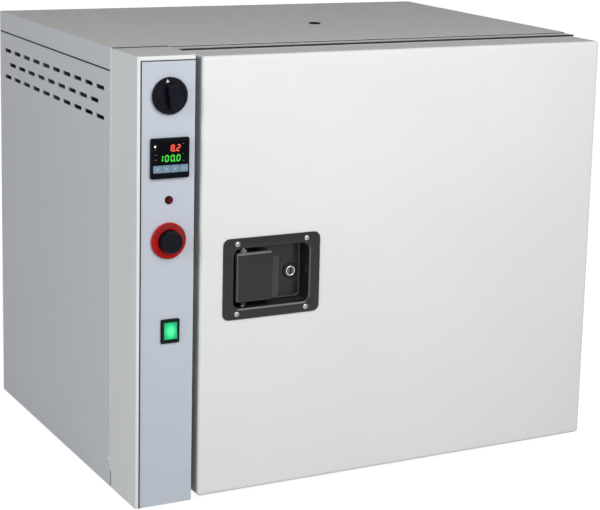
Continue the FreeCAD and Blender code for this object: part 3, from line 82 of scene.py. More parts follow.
def photo_camera():
    """The camera, placed so that the corners and the controls fall where the photograph has them."""
    camera = bpy.data.objects.new("camera", bpy.data.cameras.new("camera"))
    bpy.context.scene.collection.objects.link(camera)
    yaw, pitch, roll = 0.52335, 0.1907, 0.03212
    turn = (Matrix.Rotation(-yaw, 4, "Z") @ Matrix.Rotation(QUARTER - pitch, 4, "X")
            @ Matrix.Rotation(roll, 4, "Z"))
    camera.matrix_world = Matrix.Translation((-1.09732, -2.14577, 0.83053)) @ turn
    camera.data.lens = 106.2
    camera.data.sensor_width = 36
    camera.data.shift_x = -0.1442
    camera.data.shift_y = -0.1423
    camera.data.clip_start = 0.05
    bpy.context.scene.camera = camera


def lamp(name, place, target, size, power, colour):
    """A square soft lamp aimed at a target, out of the camera's sight."""
    bpy.ops.object.light_add(type="AREA", location=place)
    light = bpy.context.object
    light.name = name
    light.data.shape = "SQUARE"
    light.data.size = size
    light.data.energy = power
    light.data.color = colour
    light.visible_camera = False
    aim = Vector(target) - Vector(place)
    light.rotation_euler = aim.to_track_quat("-Z", "Y").to_euler()


def seen_ray(nodes, links):
    """One for rays that show the backdrop: seen at once, in a reflection or through glass."""
    path = nodes.new("ShaderNodeLightPath")
    seen = nodes.new("ShaderNodeMath")
    seen.operation = "MAXIMUM"
    either = nodes.new("ShaderNodeMath")
    either.operation = "MAXIMUM"
    links.new(path.outputs["Is Camera Ray"], seen.inputs[0])
    links.new(path.outputs["Is Glossy Ray"], seen.inputs[1])
    links.new(seen.outputs[0], either.inputs[0])
    links.new(path.outputs["Is Transmission Ray"], either.inputs[1])
    return either.outputs[0]


def studio():
    """White surroundings whose fill light comes more from the sides than from overhead."""
    scene = bpy.context.scene
    scene.view_settings.view_transform = "Standard"
    world = bpy.data.worlds.new("studio")
    scene.world = world
    world.use_nodes = True
    nodes, links = world.node_tree.nodes, world.node_tree.links
    nodes.clear()
    way = nodes.new("ShaderNodeTexCoord")
    split = nodes.new("ShaderNodeSeparateXYZ")
    links.new(way.outputs["Generated"], split.inputs[0])
    fade = nodes.new("ShaderNodeMapRange")
    fade.inputs["To Min"].default_value = 0.46
    fade.inputs["To Max"].default_value = 0.0
    links.new(split.outputs["Z"], fade.inputs["Value"])
    fill = nodes.new("ShaderNodeBackground")
    fill.inputs["Color"].default_value = (1.0, 0.985, 0.95, 1)
    links.new(fade.outputs["Result"], fill.inputs["Strength"])
    white = nodes.new("ShaderNodeBackground")
    white.inputs["Color"].default_value = (1, 1, 1, 1)
    white.inputs["Strength"].default_value = 1.0
    blend = nodes.new("ShaderNodeMixShader")
    out = nodes.new("ShaderNodeOutputWorld")
    links.new(seen_ray(nodes, links), blend.inputs["Fac"])
    links.new(fill.outputs[0], blend.inputs[1])
    links.new(white.outputs[0], blend.inputs[2])
    links.new(blend.outputs[0], out.inputs["Surface"])
    lamp("front_softbox", place=(0.0, -1.45, 1.15), target=(0.0, -0.2, 0.4), size=1.0, power=14.8,
         colour=(1, 1, 1))
    lamp("left_softbox", place=(-2.0, -1.0, 1.1), target=(-0.3, 0.0, 0.35), size=1.0, power=13.1,
         colour=(0.93, 0.97, 1.0))


def floor():
    """A floor that looks white wherever it is seen, but throws back only its own pale shade."""
    bpy.ops.mesh.primitive_plane_add(size=14, location=(0, 0, -0.0002))
    ground = bpy.context.object
    ground.name = "floor"
    material, nodes, links, shader = finish("pale_floor", (0.55, 0.55, 0.55), 0.9)
    glow = nodes.new("ShaderNodeEmission")
    glow.inputs["Strength"].default_value = 0.9
    both = nodes.new("ShaderNodeAddShader")
    blend = nodes.new("ShaderNodeMixShader")
    out = nodes["Material Output"]
    links.new(shader.outputs[0], both.inputs[0])
    links.new(glow.outputs[0], both.inputs[1])
    links.new(seen_ray(nodes, links), blend.inputs["Fac"])
    links.new(shader.outputs[0], blend.inputs[1])
    links.new(both.outputs[0], blend.inputs[2])
    links.new(blend.outputs[0], out.inputs["Surface"])
    ground.data.materials.append(material)


# Finishes

def finish(name, colour, rough, metal=0.0, specular=0.5):
    """A material with one plain shader, which its maker then gives a grain."""
    material = bpy.data.materials.new(name)
    material.use_nodes = True
    nodes, links = material.node_tree.nodes, material.node_tree.links
    shader = nodes["Principled BSDF"]
    shader.inputs["Base Color"].default_value = (*colour, 1)
    shader.inputs["Roughness"].default_value = rough
    shader.inputs["Metallic"].default_value = metal
    shader.inputs["Specular IOR Level"].default_value = specular
    return material, nodes, links, shader


def grain(nodes, links, scale, stretch=(1, 1, 1), detail=3.0):
    """Noise laid on the piece's own coordinates, drawn out along its axes by the stretch."""
    coords = nodes.new("ShaderNodeTexCoord")
    mapping = nodes.new("ShaderNodeMapping")
    mapping.inputs["Scale"].default_value = stretch
    noise = nodes.new("ShaderNodeTexNoise")
    noise.inputs["Scale"].default_value = scale
    noise.inputs["Detail"].default_value = detail
    links.new(coords.outputs["Object"], mapping.inputs["Vector"])
    links.new(mapping.outputs["Vector"], noise.inputs["Vector"])
    return noise


def press(nodes, links, shader, height, depth):
    """Bump the surface by a height pattern, so many millimetres deep."""
    bump = nodes.new("ShaderNodeBump")
    bump.inputs["Distance"].default_value = depth * MM
    links.new(height, bump.inputs["Height"])
    links.new(bump.outputs["Normal"], shader.inputs["Normal"])


def ranged(nodes, links, value, low, high, socket):
    """Drive a shader's socket between two values by a pattern."""
    spread = nodes.new("ShaderNodeMapRange")
    spread.inputs["From Min"].default_value = 0.3
    spread.inputs["From Max"].default_value = 0.7
    spread.inputs["To Min"].default_value = low
    spread.inputs["To Max"].default_value = high
    links.new(value, spread.inputs["Value"])
    links.new(spread.outputs["Result"], socket)


def tinted(nodes, links, value, first, second, shader, low=0.35, high=0.65):
    """Colour the surface between two tints by a pattern."""
    ramp = nodes.new("ShaderNodeValToRGB")
    ramp.color_ramp.elements[0].position = low
    ramp.color_ramp.elements[0].color = (*first, 1)
    ramp.color_ramp.elements[1].position = high
    ramp.color_ramp.elements[1].color = (*second, 1)
    links.new(value, ramp.inputs["Fac"])
    links.new(ramp.outputs["Color"], shader.inputs["Base Color"])


def shade(colour, factor):
    return tuple(channel * factor for channel in colour)


def powder_coat(name, colour, rough=0.52, orange_peel=0.02, peel_size=1100, specular=0.2):
    """Baked powder paint: fine orange peel over a faintly uneven film."""
    material, nodes, links, shader = finish(name, colour, rough, specular=specular)
    cloud = grain(nodes, links, 5.0)
    tinted(nodes, links, cloud.outputs["Fac"], shade(colour, 0.975), colour, shader)
    film = grain(nodes, links, 60.0)
    ranged(nodes, links, film.outputs["Fac"], rough - 0.04, rough + 0.05, shader.inputs["Roughness"])
    peel = grain(nodes, links, peel_size, detail=2.0)
    press(nodes, links, shader, peel.outputs["Fac"], orange_peel)
    return material


def brushed(name, colour, along, rough=0.3):
    """Sheet metal brushed along one axis."""
    material, nodes, links, shader = finish(name, colour, rough, metal=1.0)
    stretch = [1.0, 1.0, 1.0]
    stretch["xyz".index(along)] = 0.02
    hairs = grain(nodes, links, 2600, stretch=stretch, detail=2.0)
    ranged(nodes, links, hairs.outputs["Fac"], rough - 0.06, rough + 0.1, shader.inputs["Roughness"])
    cloud = grain(nodes, links, 14.0)
    tinted(nodes, links, cloud.outputs["Fac"], shade(colour, 0.9), colour, shader)
    press(nodes, links, shader, hairs.outputs["Fac"], 0.006)
    return material


def zinc(name):
    """Plated steel with a faint cloudy spangle."""
    colour = (0.60, 0.61, 0.60)
    material, nodes, links, shader = finish(name, colour, 0.34, metal=1.0)
    coords = nodes.new("ShaderNodeTexCoord")
    cells = nodes.new("ShaderNodeTexVoronoi")
    cells.inputs["Scale"].default_value = 260.0
    links.new(coords.outputs["Object"], cells.inputs["Vector"])
    ranged(nodes, links, cells.outputs["Distance"], 0.28, 0.42, shader.inputs["Roughness"])
    cloud = grain(nodes, links, 90.0)
    tinted(nodes, links, cloud.outputs["Fac"], shade(colour, 0.82), colour, shader)
    return material


def bright(name, colour, rough):
    """Polished metal with the faint scratches of handling."""
    material, nodes, links, shader = finish(name, colour, rough, metal=1.0)
    marks = grain(nodes, links, 700, stretch=(1, 1, 0.1), detail=4.0)
    ranged(nodes, links, marks.outputs["Fac"], rough - 0.04, rough + 0.1, shader.inputs["Roughness"])
    press(nodes, links, shader, marks.outputs["Fac"], 0.003)
    return material


def moulded(name, colour, rough, texture=0.02, specular=0.5):
    """Moulded plastic with a spark-eroded texture."""
    material, nodes, links, shader = finish(name, colour, rough, specular=specular)
    skin = grain(nodes, links, 2600, detail=2.0)
    press(nodes, links, shader, skin.outputs["Fac"], texture)
    cloud = grain(nodes, links, 120.0)
    ranged(nodes, links, cloud.outputs["Fac"], rough - 0.05, rough + 0.06, shader.inputs["Roughness"])
    return material


def silicone(name, colour):
    material, nodes, links, shader = finish(name, colour, 0.7, specular=0.06)
    bloom = grain(nodes, links, 220.0, detail=5.0)
    tinted(nodes, links, bloom.outputs["Fac"], colour, shade(colour, 1.6), shader)
    press(nodes, links, shader, bloom.outputs["Fac"], 0.04)
    return material


def wool(name, colour):
    """Mineral wool: long matted fibres."""
    material, nodes, links, shader = finish(name, colour, 0.95)
    fibres = grain(nodes, links, 420.0, stretch=(1, 0.15, 1), detail=8.0)
    tinted(nodes, links, fibres.outputs["Fac"], shade(colour, 0.6), colour, shader)
    press(nodes, links, shader, fibres.outputs["Fac"], 1.2)
    return material


def heated_sheath(name):
    """Element tube tinted straw and blue by its own heat."""
    material, nodes, links, shader = finish(name, (0.2, 0.18, 0.16), 0.5, metal=1.0)
    bands = grain(nodes, links, 26.0, detail=4.0)
    tinted(nodes, links, bands.outputs["Fac"], (0.10, 0.11, 0.15), (0.34, 0.27, 0.19), shader)
    press(nodes, links, shader, grain(nodes, links, 1500).outputs["Fac"], 0.01)
    return material


def overlay(name, colour):
    """A printed film on sheet metal, with a fine matt grain."""
    material, nodes, links, shader = finish(name, colour, 0.5)
    cloud = grain(nodes, links, 7.0)
    tinted(nodes, links, cloud.outputs["Fac"], shade(colour, 0.97), colour, shader)
    press(nodes, links, shader, grain(nodes, links, 3200, detail=1.0).outputs["Fac"], 0.012)
    return material


def dark_window(name):
    """Smoked display window with faint wiping marks."""
    material, nodes, links, shader = finish(name, (0.002, 0.002, 0.004), 0.16, specular=0.05)
    wipes = grain(nodes, links, 60.0, stretch=(1, 1, 0.3), detail=5.0)
    ranged(nodes, links, wipes.outputs["Fac"], 0.10, 0.24, shader.inputs["Roughness"])
    return material


def lit(name, colour, strength):
    """A light emitting bar behind a tinted window."""
    material, nodes, links, shader = finish(name, shade(colour, 0.25), 0.4)
    shader.inputs["Emission Color"].default_value = (*colour, 1)
    shader.inputs["Emission Strength"].default_value = strength
    press(nodes, links, shader, grain(nodes, links, 4000).outputs["Fac"], 0.005)
    return material


def ink(name, colour):
    material, nodes, links, shader = finish(name, colour, 0.5)
    edge = grain(nodes, links, 2400)
    tinted(nodes, links, edge.outputs["Fac"], shade(colour, 0.85), colour, shader)
    return material


def lit_rocker(name, centre):
    """Green translucent rocker with its lamp glowing behind the middle."""
    material, nodes, links, shader = finish(name, (0.0, 0.30, 0.10), 0.22)
    coords = nodes.new("ShaderNodeTexCoord")
    mapping = nodes.new("ShaderNodeMapping")
    reach = (0.0088, 0.02, 0.0115)
    mapping.inputs["Scale"].default_value = [1 / length for length in reach]
    mapping.inputs["Location"].default_value = [-place / length for place, length in zip(centre, reach)]
    ball = nodes.new("ShaderNodeTexGradient")
    ball.gradient_type = "SPHERICAL"
    ramp = nodes.new("ShaderNodeValToRGB")
    stops = ramp.color_ramp.elements
    stops[0].position = 0.0
    stops[0].color = (0.0, 0.16, 0.06, 1)
    stops[1].position = 0.85
    stops[1].color = (0.20, 1.0, 0.46, 1)
    middle = stops.new(0.35)
    middle.color = (0.0, 0.62, 0.22, 1)
    links.new(coords.outputs["Object"], mapping.inputs["Vector"])
    links.new(mapping.outputs["Vector"], ball.inputs["Vector"])
    links.new(ball.outputs["Fac"], ramp.inputs["Fac"])
    links.new(ramp.outputs["Color"], shader.inputs["Emission Color"])
    shader.inputs["Emission Strength"].default_value = 0.9
    press(nodes, links, shader, grain(nodes, links, 1800).outputs["Fac"], 0.01)
    return material


def ribbed_lens(name, centre):
    """Dark red lamp lens with moulded rings, darker towards its rim."""
    material, nodes, links, shader = finish(name, (0.20, 0.005, 0.006), 0.3, specular=0.05)
    coords = nodes.new("ShaderNodeTexCoord")
    mapping = nodes.new("ShaderNodeMapping")
    mapping.inputs["Location"].default_value = [-place for place in centre]
    spread = nodes.new("ShaderNodeMapping")
    spread.inputs["Scale"].default_value = [1 / (5.5 * MM)] * 3
    ball = nodes.new("ShaderNodeTexGradient")
    ball.gradient_type = "SPHERICAL"
    links.new(mapping.outputs["Vector"], spread.inputs["Vector"])
    links.new(spread.outputs["Vector"], ball.inputs["Vector"])
    tinted(nodes, links, ball.outputs["Fac"], (0.006, 0.001, 0.001), (0.15, 0.005, 0.004), shader, 0.15, 0.7)
    rings = nodes.new("ShaderNodeTexWave")
    rings.wave_type = "RINGS"
    rings.rings_direction = "Y"
    rings.inputs["Scale"].default_value = 260.0
    links.new(coords.outputs["Object"], mapping.inputs["Vector"])
    links.new(mapping.outputs["Vector"], rings.inputs["Vector"])
    press(nodes, links, shader, rings.outputs["Fac"], 0.25)
    return material


def latch_coat(name):
    """The smooth black powder coat of the latch's tray and paddle."""
    return powder_coat(name, (0.014, 0.014, 0.015), 0.24, 0.012, 900, 0.3)


WHITE_PAINT = (0.85, 0.86, 0.86)
GREY_PAINT = (0.70, 0.715, 0.76)
FINISHES = {
    "door_paint": powder_coat("door_powder_white", WHITE_PAINT),
    "cabinet_paint": powder_coat("cabinet_powder_grey", GREY_PAINT),
    "fascia_film": overlay("fascia_overlay_blue_grey", (0.565, 0.605, 0.685)),
    "stainless": brushed("chamber_stainless", (0.60, 0.60, 0.58), "x"),
    "bright_wire": bright("shelf_wire", (0.66, 0.66, 0.65), 0.18),
    "lagging": wool("mineral_wool", (0.78, 0.76, 0.66)),
    "seal_rubber": silicone("gasket_silicone", (0.03, 0.03, 0.032)),
    "foot_rubber": silicone("foot_rubber", (0.02, 0.02, 0.02)),
    "zinc_plate": zinc("zinc_plate"),
    "latch_black": latch_coat("latch_black_powder"),
    "bright_chrome": bright("latch_chrome", (0.72, 0.72, 0.72), 0.14),
    "lock_black": moulded("lock_black_enamel", (0.010, 0.010, 0.011), 0.3, 0.01, specular=0.2),
    "knob_black": moulded("knob_black_moulding", (0.003, 0.0035, 0.008), 0.36, specular=0.10),
    "instrument_black": moulded("instrument_black_moulding", (0.002, 0.003, 0.006), 0.42, specular=0.05),
    "display_window": dark_window("smoked_window"),
    "key_blue": moulded("key_blue_rubber", (0.17, 0.26, 0.36), 0.5),
    "lamp_red": ribbed_lens("lamp_red_lens", front_of("pilot_lamp")),
    "dial_red": moulded("dial_red_moulding", (0.46, 0.006, 0.004), 0.40, 0.01, specular=0.12),
    "bezel_black": moulded("bezel_black_moulding", (0.003, 0.003, 0.004), 0.25, 0.008, specular=0.12),
    "rocker_green": lit_rocker("rocker_green_lit", middle_of("switch_rocker")),
    "heater_sheath": heated_sheath("heater_sheath"),
    "probe_steel": bright("probe_steel", (0.6, 0.6, 0.6), 0.2),
    "motor_case": moulded("motor_black_enamel", (0.03, 0.03, 0.033), 0.4),
    "relay_alloy": brushed("relay_anodised", (0.55, 0.55, 0.57), "z", 0.4),
}
# Painted shade: the vent tube's bore, its sleeve and the ring round the port are black, so that the hole
# looks dark
PORT_BLACK = moulded("vent_port_painted_shade", (0.004, 0.004, 0.004), 0.8, 0.05, specular=0.02)
# Painted reflection: the lock's face is a dark metal that stands in for the dark tray it reflects
LOCK_FACE_DARK_REFLECTION = bright("lock_face_painted_dark_reflection", (0.10, 0.10, 0.105), 0.3)
# Painted shade: darker colours of the same paint on the upper faces and on the column's right face, where
# the lamps alone leave them too bright
PAINTED_SHADE_TOP = (0.56, 0.56, 0.57)
PAINTED_SHADE_COVER = (0.555, 0.55, 0.545)
SHADED_SIDE = (0.20, 0.20, 0.20)
COLUMN_PAINT = powder_coat("column_powder_white", WHITE_PAINT)
DOOR_PAINT = powder_coat("door_powder_painted_shade_top", WHITE_PAINT)
COVER_PAINT = powder_coat("cover_powder_grey", GREY_PAINT)
FRAME_PAINT = powder_coat("frame_powder_grey", (0.65, 0.655, 0.65))
SPECIAL = {"control_column": COLUMN_PAINT, "door_skin": DOOR_PAINT, "top_cover": COVER_PAINT,
           "front_frame": FRAME_PAINT, "vent_tube": PORT_BLACK, "lock_plug": LOCK_FACE_DARK_REFLECTION}
PADDLE_BLACK = latch_coat("paddle_black_powder")
SCREW_NICKEL = bright("tray_screw_nickel", (0.36, 0.36, 0.36), 0.24)
WHITE_INK = ink("pointer_white_ink", (0.80, 0.80, 0.84))
DARK_INK = ink("dial_dark_ink", (0.008, 0.001, 0.001))
PALE_INK = ink("key_pale_ink", (0.45, 0.55, 0.66))
DIM_INK = ink("window_dim_ink", (0.07, 0.07, 0.075))
RED_LIT = lit("display_red_lit", (1.0, 0.085, 0.03), 1.15)
RED_GLOW = lit("display_red_glow", (0.20, 0.004, 0.002), 0.9)
GREEN_LIT = lit("display_green_lit", (0.03, 0.78, 0.02), 1.0)
GREEN_GLOW = lit("display_green_glow", (0.0, 0.12, 0.004), 0.9)
PALE_LIT = lit("indicator_pale_lit", (0.95, 1.0, 0.70), 1.3)
OLIVE_GLOW = lit("indicator_olive_glow", (0.03, 0.035, 0.006), 0.9)


def recoloured(material, colour, mask_of):
    """Another colour where a mask, made from the object's coordinates, is one."""
    nodes, links = material.node_tree.nodes, material.node_tree.links
    shader = nodes["Principled BSDF"]
    paint = shader.inputs["Base Color"].links[0].from_socket
    coords = nodes.new("ShaderNodeTexCoord")
    split = nodes.new("ShaderNodeSeparateXYZ")
    links.new(coords.outputs["Object"], split.inputs[0])
    blend = nodes.new("ShaderNodeMix")
    blend.data_type = "RGBA"
    first, second = (socket for socket in blend.inputs if socket.type == "RGBA")
    mixed = next(socket for socket in blend.outputs if socket.type == "RGBA")
    links.new(mask_of(nodes, links, split.outputs), blend.inputs[0])
    links.new(paint, first)
    second.default_value = (*colour, 1)
    links.new(mixed, shader.inputs["Base Color"])


def recoloured_beyond(material, axis, edge, colour, side="GREATER_THAN"):
    """Another colour on the faces that lie beyond an edge along one axis."""
    def mask(nodes, links, along):
        beyond = nodes.new("ShaderNodeMath")
        beyond.operation = side
        beyond.inputs[1].default_value = edge
        links.new(along[axis], beyond.inputs[0])
        return beyond.outputs[0]

    recoloured(material, colour, mask)


def painted_highlight_band(material, colour, **bands):
    """A painted highlight: another colour inside bands, each given by an axis with its lowest and highest
    place.
    """
    def mask(nodes, links, along):
        inside = None
        for axis, (low, high) in bands.items():
            within = nodes.new("ShaderNodeMath")
            within.operation = "COMPARE"
            within.inputs[1].default_value = (low + high) / 2
            within.inputs[2].default_value = (high - low) / 2
            links.new(along[axis], within.inputs[0])
            if inside is None:
                inside = within.outputs[0]
                continue
            both = nodes.new("ShaderNodeMath")
            both.operation = "MULTIPLY"
            links.new(inside, both.inputs[0])
            links.new(within.outputs[0], both.inputs[1])
            inside = both.outputs[0]
        return inside

    recoloured(material, colour, mask)


def dress_solids():
    """Give every solid of the model the finish that its record names, or the one listed for it in SPECIAL,
    with painted shade on some faces.
    """
    skin = 0.2 * MM
    column_high = box_of("control_column")[1]
    # Painted shade: the column's right face is darkened, and the tops of the column, door and cover are
    # dulled, where the lamps alone light them too brightly
    recoloured_beyond(COLUMN_PAINT, "X", column_high.x - skin, SHADED_SIDE)
    recoloured_beyond(COLUMN_PAINT, "Z", column_high.z - skin, PAINTED_SHADE_TOP)
    recoloured_beyond(DOOR_PAINT, "Z", box_of("door_skin")[1].z - skin, PAINTED_SHADE_TOP)
    recoloured_beyond(COVER_PAINT, "Z", box_of("top_cover")[1].z - skin, PAINTED_SHADE_COVER)
    for part in frame["record"]["subparts"]:
        node = frame["nodes"][part["node"]]
        node.data.materials.clear()
        node.data.materials.append(SPECIAL.get(part["node"], FINISHES[part["material_slot"]]))


# Hand tools

def only(piece):
    """Make a piece the one that is selected and active."""
    bpy.ops.object.select_all(action="DESELECT")
    piece.select_set(True)
    bpy.context.view_layer.objects.active = piece


def settle(piece):
    """Bake a piece's place, turn and size into its mesh."""
    only(piece)
    bpy.ops.object.transform_apply(location=True, rotation=True, scale=True)


def started(name):
    """Name the piece that was just made."""
    piece = bpy.context.object
    piece.name = name
    piece.data.name = name
    return piece


def joined(name, pieces):
    """Join pieces into one, under a name."""
    bpy.ops.object.select_all(action="DESELECT")
    for piece in pieces:
        piece.select_set(True)
    bpy.context.view_layer.objects.active = pieces[0]
    bpy.ops.object.join()
    return started(name)


def copied(piece, place):
    """A copy with a mesh of its own, at another place."""
    twin = piece.copy()
    twin.data = piece.data.copy()
    bpy.context.scene.collection.objects.link(twin)
    twin.location = place
    settle(twin)
    return twin


def pick(piece, kind, wanted):
    """In edit mode, select the corners, or the edges by their middle, that pass a test."""
    bpy.ops.mesh.select_mode(type=kind)
    bpy.ops.mesh.select_all(action="DESELECT")
    bpy.ops.object.mode_set(mode="OBJECT")
    mesh = piece.data
    if kind == "EDGE":
        for edge in mesh.edges:
            one, two = (mesh.vertices[number].co for number in edge.vertices)
            edge.select = wanted((one + two) / 2)
    else:
        for vertex in mesh.vertices:
            vertex.select = wanted(vertex.co)
    bpy.ops.object.mode_set(mode="EDIT")


def drawn_out(way):
    """Draw the edited mesh out by a shift in metres, turn its faces outward and leave edit mode."""
    bpy.ops.mesh.select_all(action="SELECT")
    bpy.ops.mesh.extrude_region_move(TRANSFORM_OT_translate={"value": way})
    bpy.ops.mesh.select_all(action="SELECT")
    bpy.ops.mesh.normals_make_consistent(inside=False)
    bpy.ops.object.mode_set(mode="OBJECT")


def thickened(piece, thickness):
    """Give a sheet its thickness, on the side away from its faces."""
    only(piece)
    shell = piece.modifiers.new("sheet", "SOLIDIFY")
    shell.thickness = thickness * MM
    shell.offset = -1
    bpy.ops.object.modifier_apply(modifier=shell.name)


def finished(piece, body, slot, material=None):
    """Smooth a piece, give it its finish and let it ride on its body."""
    only(piece)
    bpy.ops.object.shade_smooth_by_angle(angle=math.radians(35))
    piece.data.materials.clear()
    piece.data.materials.append(material or FINISHES[slot])
    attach(piece, body)


def bevelled(piece, width, segments, angle=math.radians(40)):
    """Round the edges that are sharper than an angle."""
    only(piece)
    tool = piece.modifiers.new("edge", "BEVEL")
    tool.width = width * MM
    tool.segments = segments
    tool.limit_method = "ANGLE"
    tool.angle_limit = angle
    bpy.ops.object.modifier_apply(modifier=tool.name)


def hollowed(piece, cutter):
    """Cut one piece out of another and throw the cutter away."""
    only(piece)
    tool = piece.modifiers.new("cut", "BOOLEAN")
    tool.operation = "DIFFERENCE"
    tool.solver = "EXACT"
    tool.object = cutter
    bpy.ops.object.modifier_apply(modifier=tool.name)
    bpy.data.objects.remove(cutter, do_unlink=True)


def rounded_plate(name, place, wide, tall, radius, steps=8):
    """A flat rounded rectangle that faces the front."""
    bpy.ops.mesh.primitive_plane_add(size=MM, location=place, rotation=FACING_FRONT)
    piece = started(name)
    piece.scale = (wide, tall, 1)
    settle(piece)
    bpy.ops.object.mode_set(mode="EDIT")
    bpy.ops.mesh.select_all(action="SELECT")
    bpy.ops.mesh.bevel(affect="VERTICES", offset=radius * MM, segments=steps)
    bpy.ops.object.mode_set(mode="OBJECT")
    return piece


def stepped(steps):
    """Inset the selected face again and again: each step is how far in and how far forward."""
    for inward, forward in steps:
        bpy.ops.mesh.inset(thickness=inward * MM, depth=forward * MM)


# Flush latch

TRAY_X, TRAY_FRONT, TRAY_Z = 177.2, -1.5, 274.1


def latch_tray():
    """The pressed tray: a flat flange, a rolled rim, drafted walls and a soft-cornered floor."""
    well_wide, well_tall = 107.4, 79.9
    flange_wide, flange_tall = 131.4, 101.8
    middle = at(TRAY_X, TRAY_FRONT, TRAY_Z)
    well = rounded_plate("latch_tray_pressing", middle, well_wide, well_tall, radius=12.0)
    bpy.ops.object.mode_set(mode="EDIT")
    bpy.ops.mesh.select_all(action="SELECT")
    rim = ((0.7, -0.1), (0.7, -0.3), (0.6, -0.5), (0.5, -0.7), (0.35, -0.85))
    wall = ((0.35, -4.6), (0.4, -6.0), (0.45, -7.1))
    floor_round = ((0.12, -0.85), (0.35, -0.75), (0.6, -0.6), (0.85, -0.35), (0.9, -0.12))
    stepped(rim + wall + floor_round)
    bpy.ops.object.mode_set(mode="OBJECT")
    flange = rounded_plate("flange", middle, flange_wide, flange_tall, radius=8.5)
    bpy.ops.object.mode_set(mode="EDIT")
    bpy.ops.mesh.select_all(action="SELECT")
    bpy.ops.mesh.delete(type="ONLY_FACE")
    bpy.ops.object.mode_set(mode="OBJECT")
    tray = joined("latch_tray_pressing", [well, flange])
    bpy.ops.object.mode_set(mode="EDIT")
    pick(tray, "EDGE", lambda place: abs(place.y - middle.y) < 0.01 * MM)
    bpy.ops.mesh.fill(use_beauty=True)
    bpy.ops.mesh.select_all(action="SELECT")
    bpy.ops.mesh.normals_make_consistent(inside=False)
    bpy.ops.object.mode_set(mode="OBJECT")
    thickened(tray, 1.4)
    bpy.ops.mesh.primitive_cube_add(size=MM, location=at(148.25, 23, 275.1))
    slot_cutter = started("crank_slot")
    slot_cutter.scale = (25.5, 8, 8)
    settle(slot_cutter)
    hollowed(tray, slot_cutter)
    bevelled(tray, 0.35, 2, math.radians(60))
    rolled = (at(0, -1.46, 0).y, at(0, 0.9, 0).y)
    lower = middle.z - well_tall / 2 * MM
    right = middle.x + well_wide / 2 * MM
    near, far = 0.3 * MM, 2.3 * MM
    # Painted highlights along the lower and right edges of the rolled rim, on the tray's black coat
    painted_highlight_lower, painted_highlight_right = (0.17, 0.17, 0.17), (0.08, 0.08, 0.08)
    painted_highlight_band(FINISHES["latch_black"], painted_highlight_lower, Y=rolled, Z=(lower + near, lower + far))
    painted_highlight_band(FINISHES["latch_black"], painted_highlight_right, Y=rolled, X=(right - far, right - near))
    finished(tray, "door", "latch_black")
    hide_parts("latch_tray")


def cross_screw(place, radius, dome, turn=0.0):
    """A domed screw head with a cross recess, facing the front."""
    bpy.ops.mesh.primitive_circle_add(vertices=24, radius=radius * MM, fill_type="NGON",
                                      location=place, rotation=FACING_FRONT)
    head = started("screw_head")
    settle(head)
    bpy.ops.object.mode_set(mode="EDIT")
    bpy.ops.mesh.select_all(action="SELECT")
    bpy.ops.mesh.extrude_region_move(TRANSFORM_OT_translate={"value": (0, -dome * 0.3 * MM, 0)})
    stepped(((radius * 0.10, dome * 0.22), (radius * 0.16, dome * 0.20),
             (radius * 0.2, dome * 0.17), (radius * 0.2, dome * 0.09)))
    bpy.ops.object.mode_set(mode="OBJECT")
    for number in range(2):
        bpy.ops.mesh.primitive_cube_add(size=MM, location=place, rotation=(0, turn + number * QUARTER, 0))
        blade = started("blade")
        blade.scale = (radius * 1.15, dome * 2.4, radius * 0.24)
        only(blade)
        bpy.ops.object.transform_apply(location=False, rotation=False, scale=True)
        blade.location.y -= dome * 1.3 * MM
        settle(blade)
        hollowed(head, blade)
    return head


def tray_screws():
    """The four screws in the corners of the tray's flange."""
    across, up, radius, dome = 46.9, 43.85, 3.3, 1.6
    heads = [cross_screw(at(TRAY_X + side * across, TRAY_FRONT, TRAY_Z + end * up), radius, dome, turn)
             for side, end, turn in ((-1, 1, 0.3), (1, 1, 0.9), (-1, -1, 1.2), (1, -1, 0.6))]
    screws = joined("tray_screw_heads", heads)
    finished(screws, "door", "bright_chrome", SCREW_NICKEL)
    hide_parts("tray_screws")


def paddle():
    """The pull plate: a shallow cap with soft edges, a slanted finger lip and the crank behind."""
    left, right, low, high = 130.5, 179.0, 243.0, 304.9
    front, deep, soft = -0.4, 9.0, 2.8
    # Painted light: the finger lip lighter, and painted highlights along the cap's rounded top and left
    # edges
    painted_lip_light, painted_highlight_top, painted_highlight_left = (0.036, 0.036, 0.040), (0.19, 0.19, 0.19), (0.13, 0.13, 0.13)
    recoloured_beyond(PADDLE_BLACK, "X", at(right + 0.4, 0, 0).x, painted_lip_light)
    recoloured_beyond(PADDLE_BLACK, "Z", at(0, 0, high - soft * 0.55).z, painted_highlight_top)
    recoloured_beyond(PADDLE_BLACK, "X", at(left + soft * 0.5, 0, 0).x, painted_highlight_left, "LESS_THAN")
    middle = at((left + right) / 2, front, (low + high) / 2)
    cap = rounded_plate("latch_paddle_cap", middle, right - left, high - low, radius=3.0, steps=5)
    bpy.ops.object.mode_set(mode="EDIT")
    drawn_out((0, deep * MM, 0))
    bevelled(cap, soft, 6)
    lip = lip_plate(right, low, high, front)
    crank = crank_arm()
    piece = joined("latch_paddle_cap", [cap, lip, crank])
    finished(piece, "paddle", "latch_black", PADDLE_BLACK)
    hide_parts("latch_paddle")


def lip_plate(right, low, high, front):
    """The bent edge that the fingers pull, narrowed towards its tip."""
    bpy.ops.mesh.primitive_plane_add(size=MM, location=(0, 0, 0), rotation=FACING_FRONT)
    lip = started("finger_lip")
    settle(lip)
    root = (right - 1.0, front + 3.2)
    tip = (right + 11.6, front + 6.4)
    corners = [(*root, low + 1.0), (*tip, low + 3.0), (*root, high - 3.5), (*tip, high - 9.5)]
    order = sorted(lip.data.vertices, key=lambda vertex: (vertex.co.z, vertex.co.x))
    for vertex, place in zip(order, corners):
        vertex.co = at(*place)
    thickened(lip, 2.4)
    bevelled(lip, 1.0, 4)
    return lip


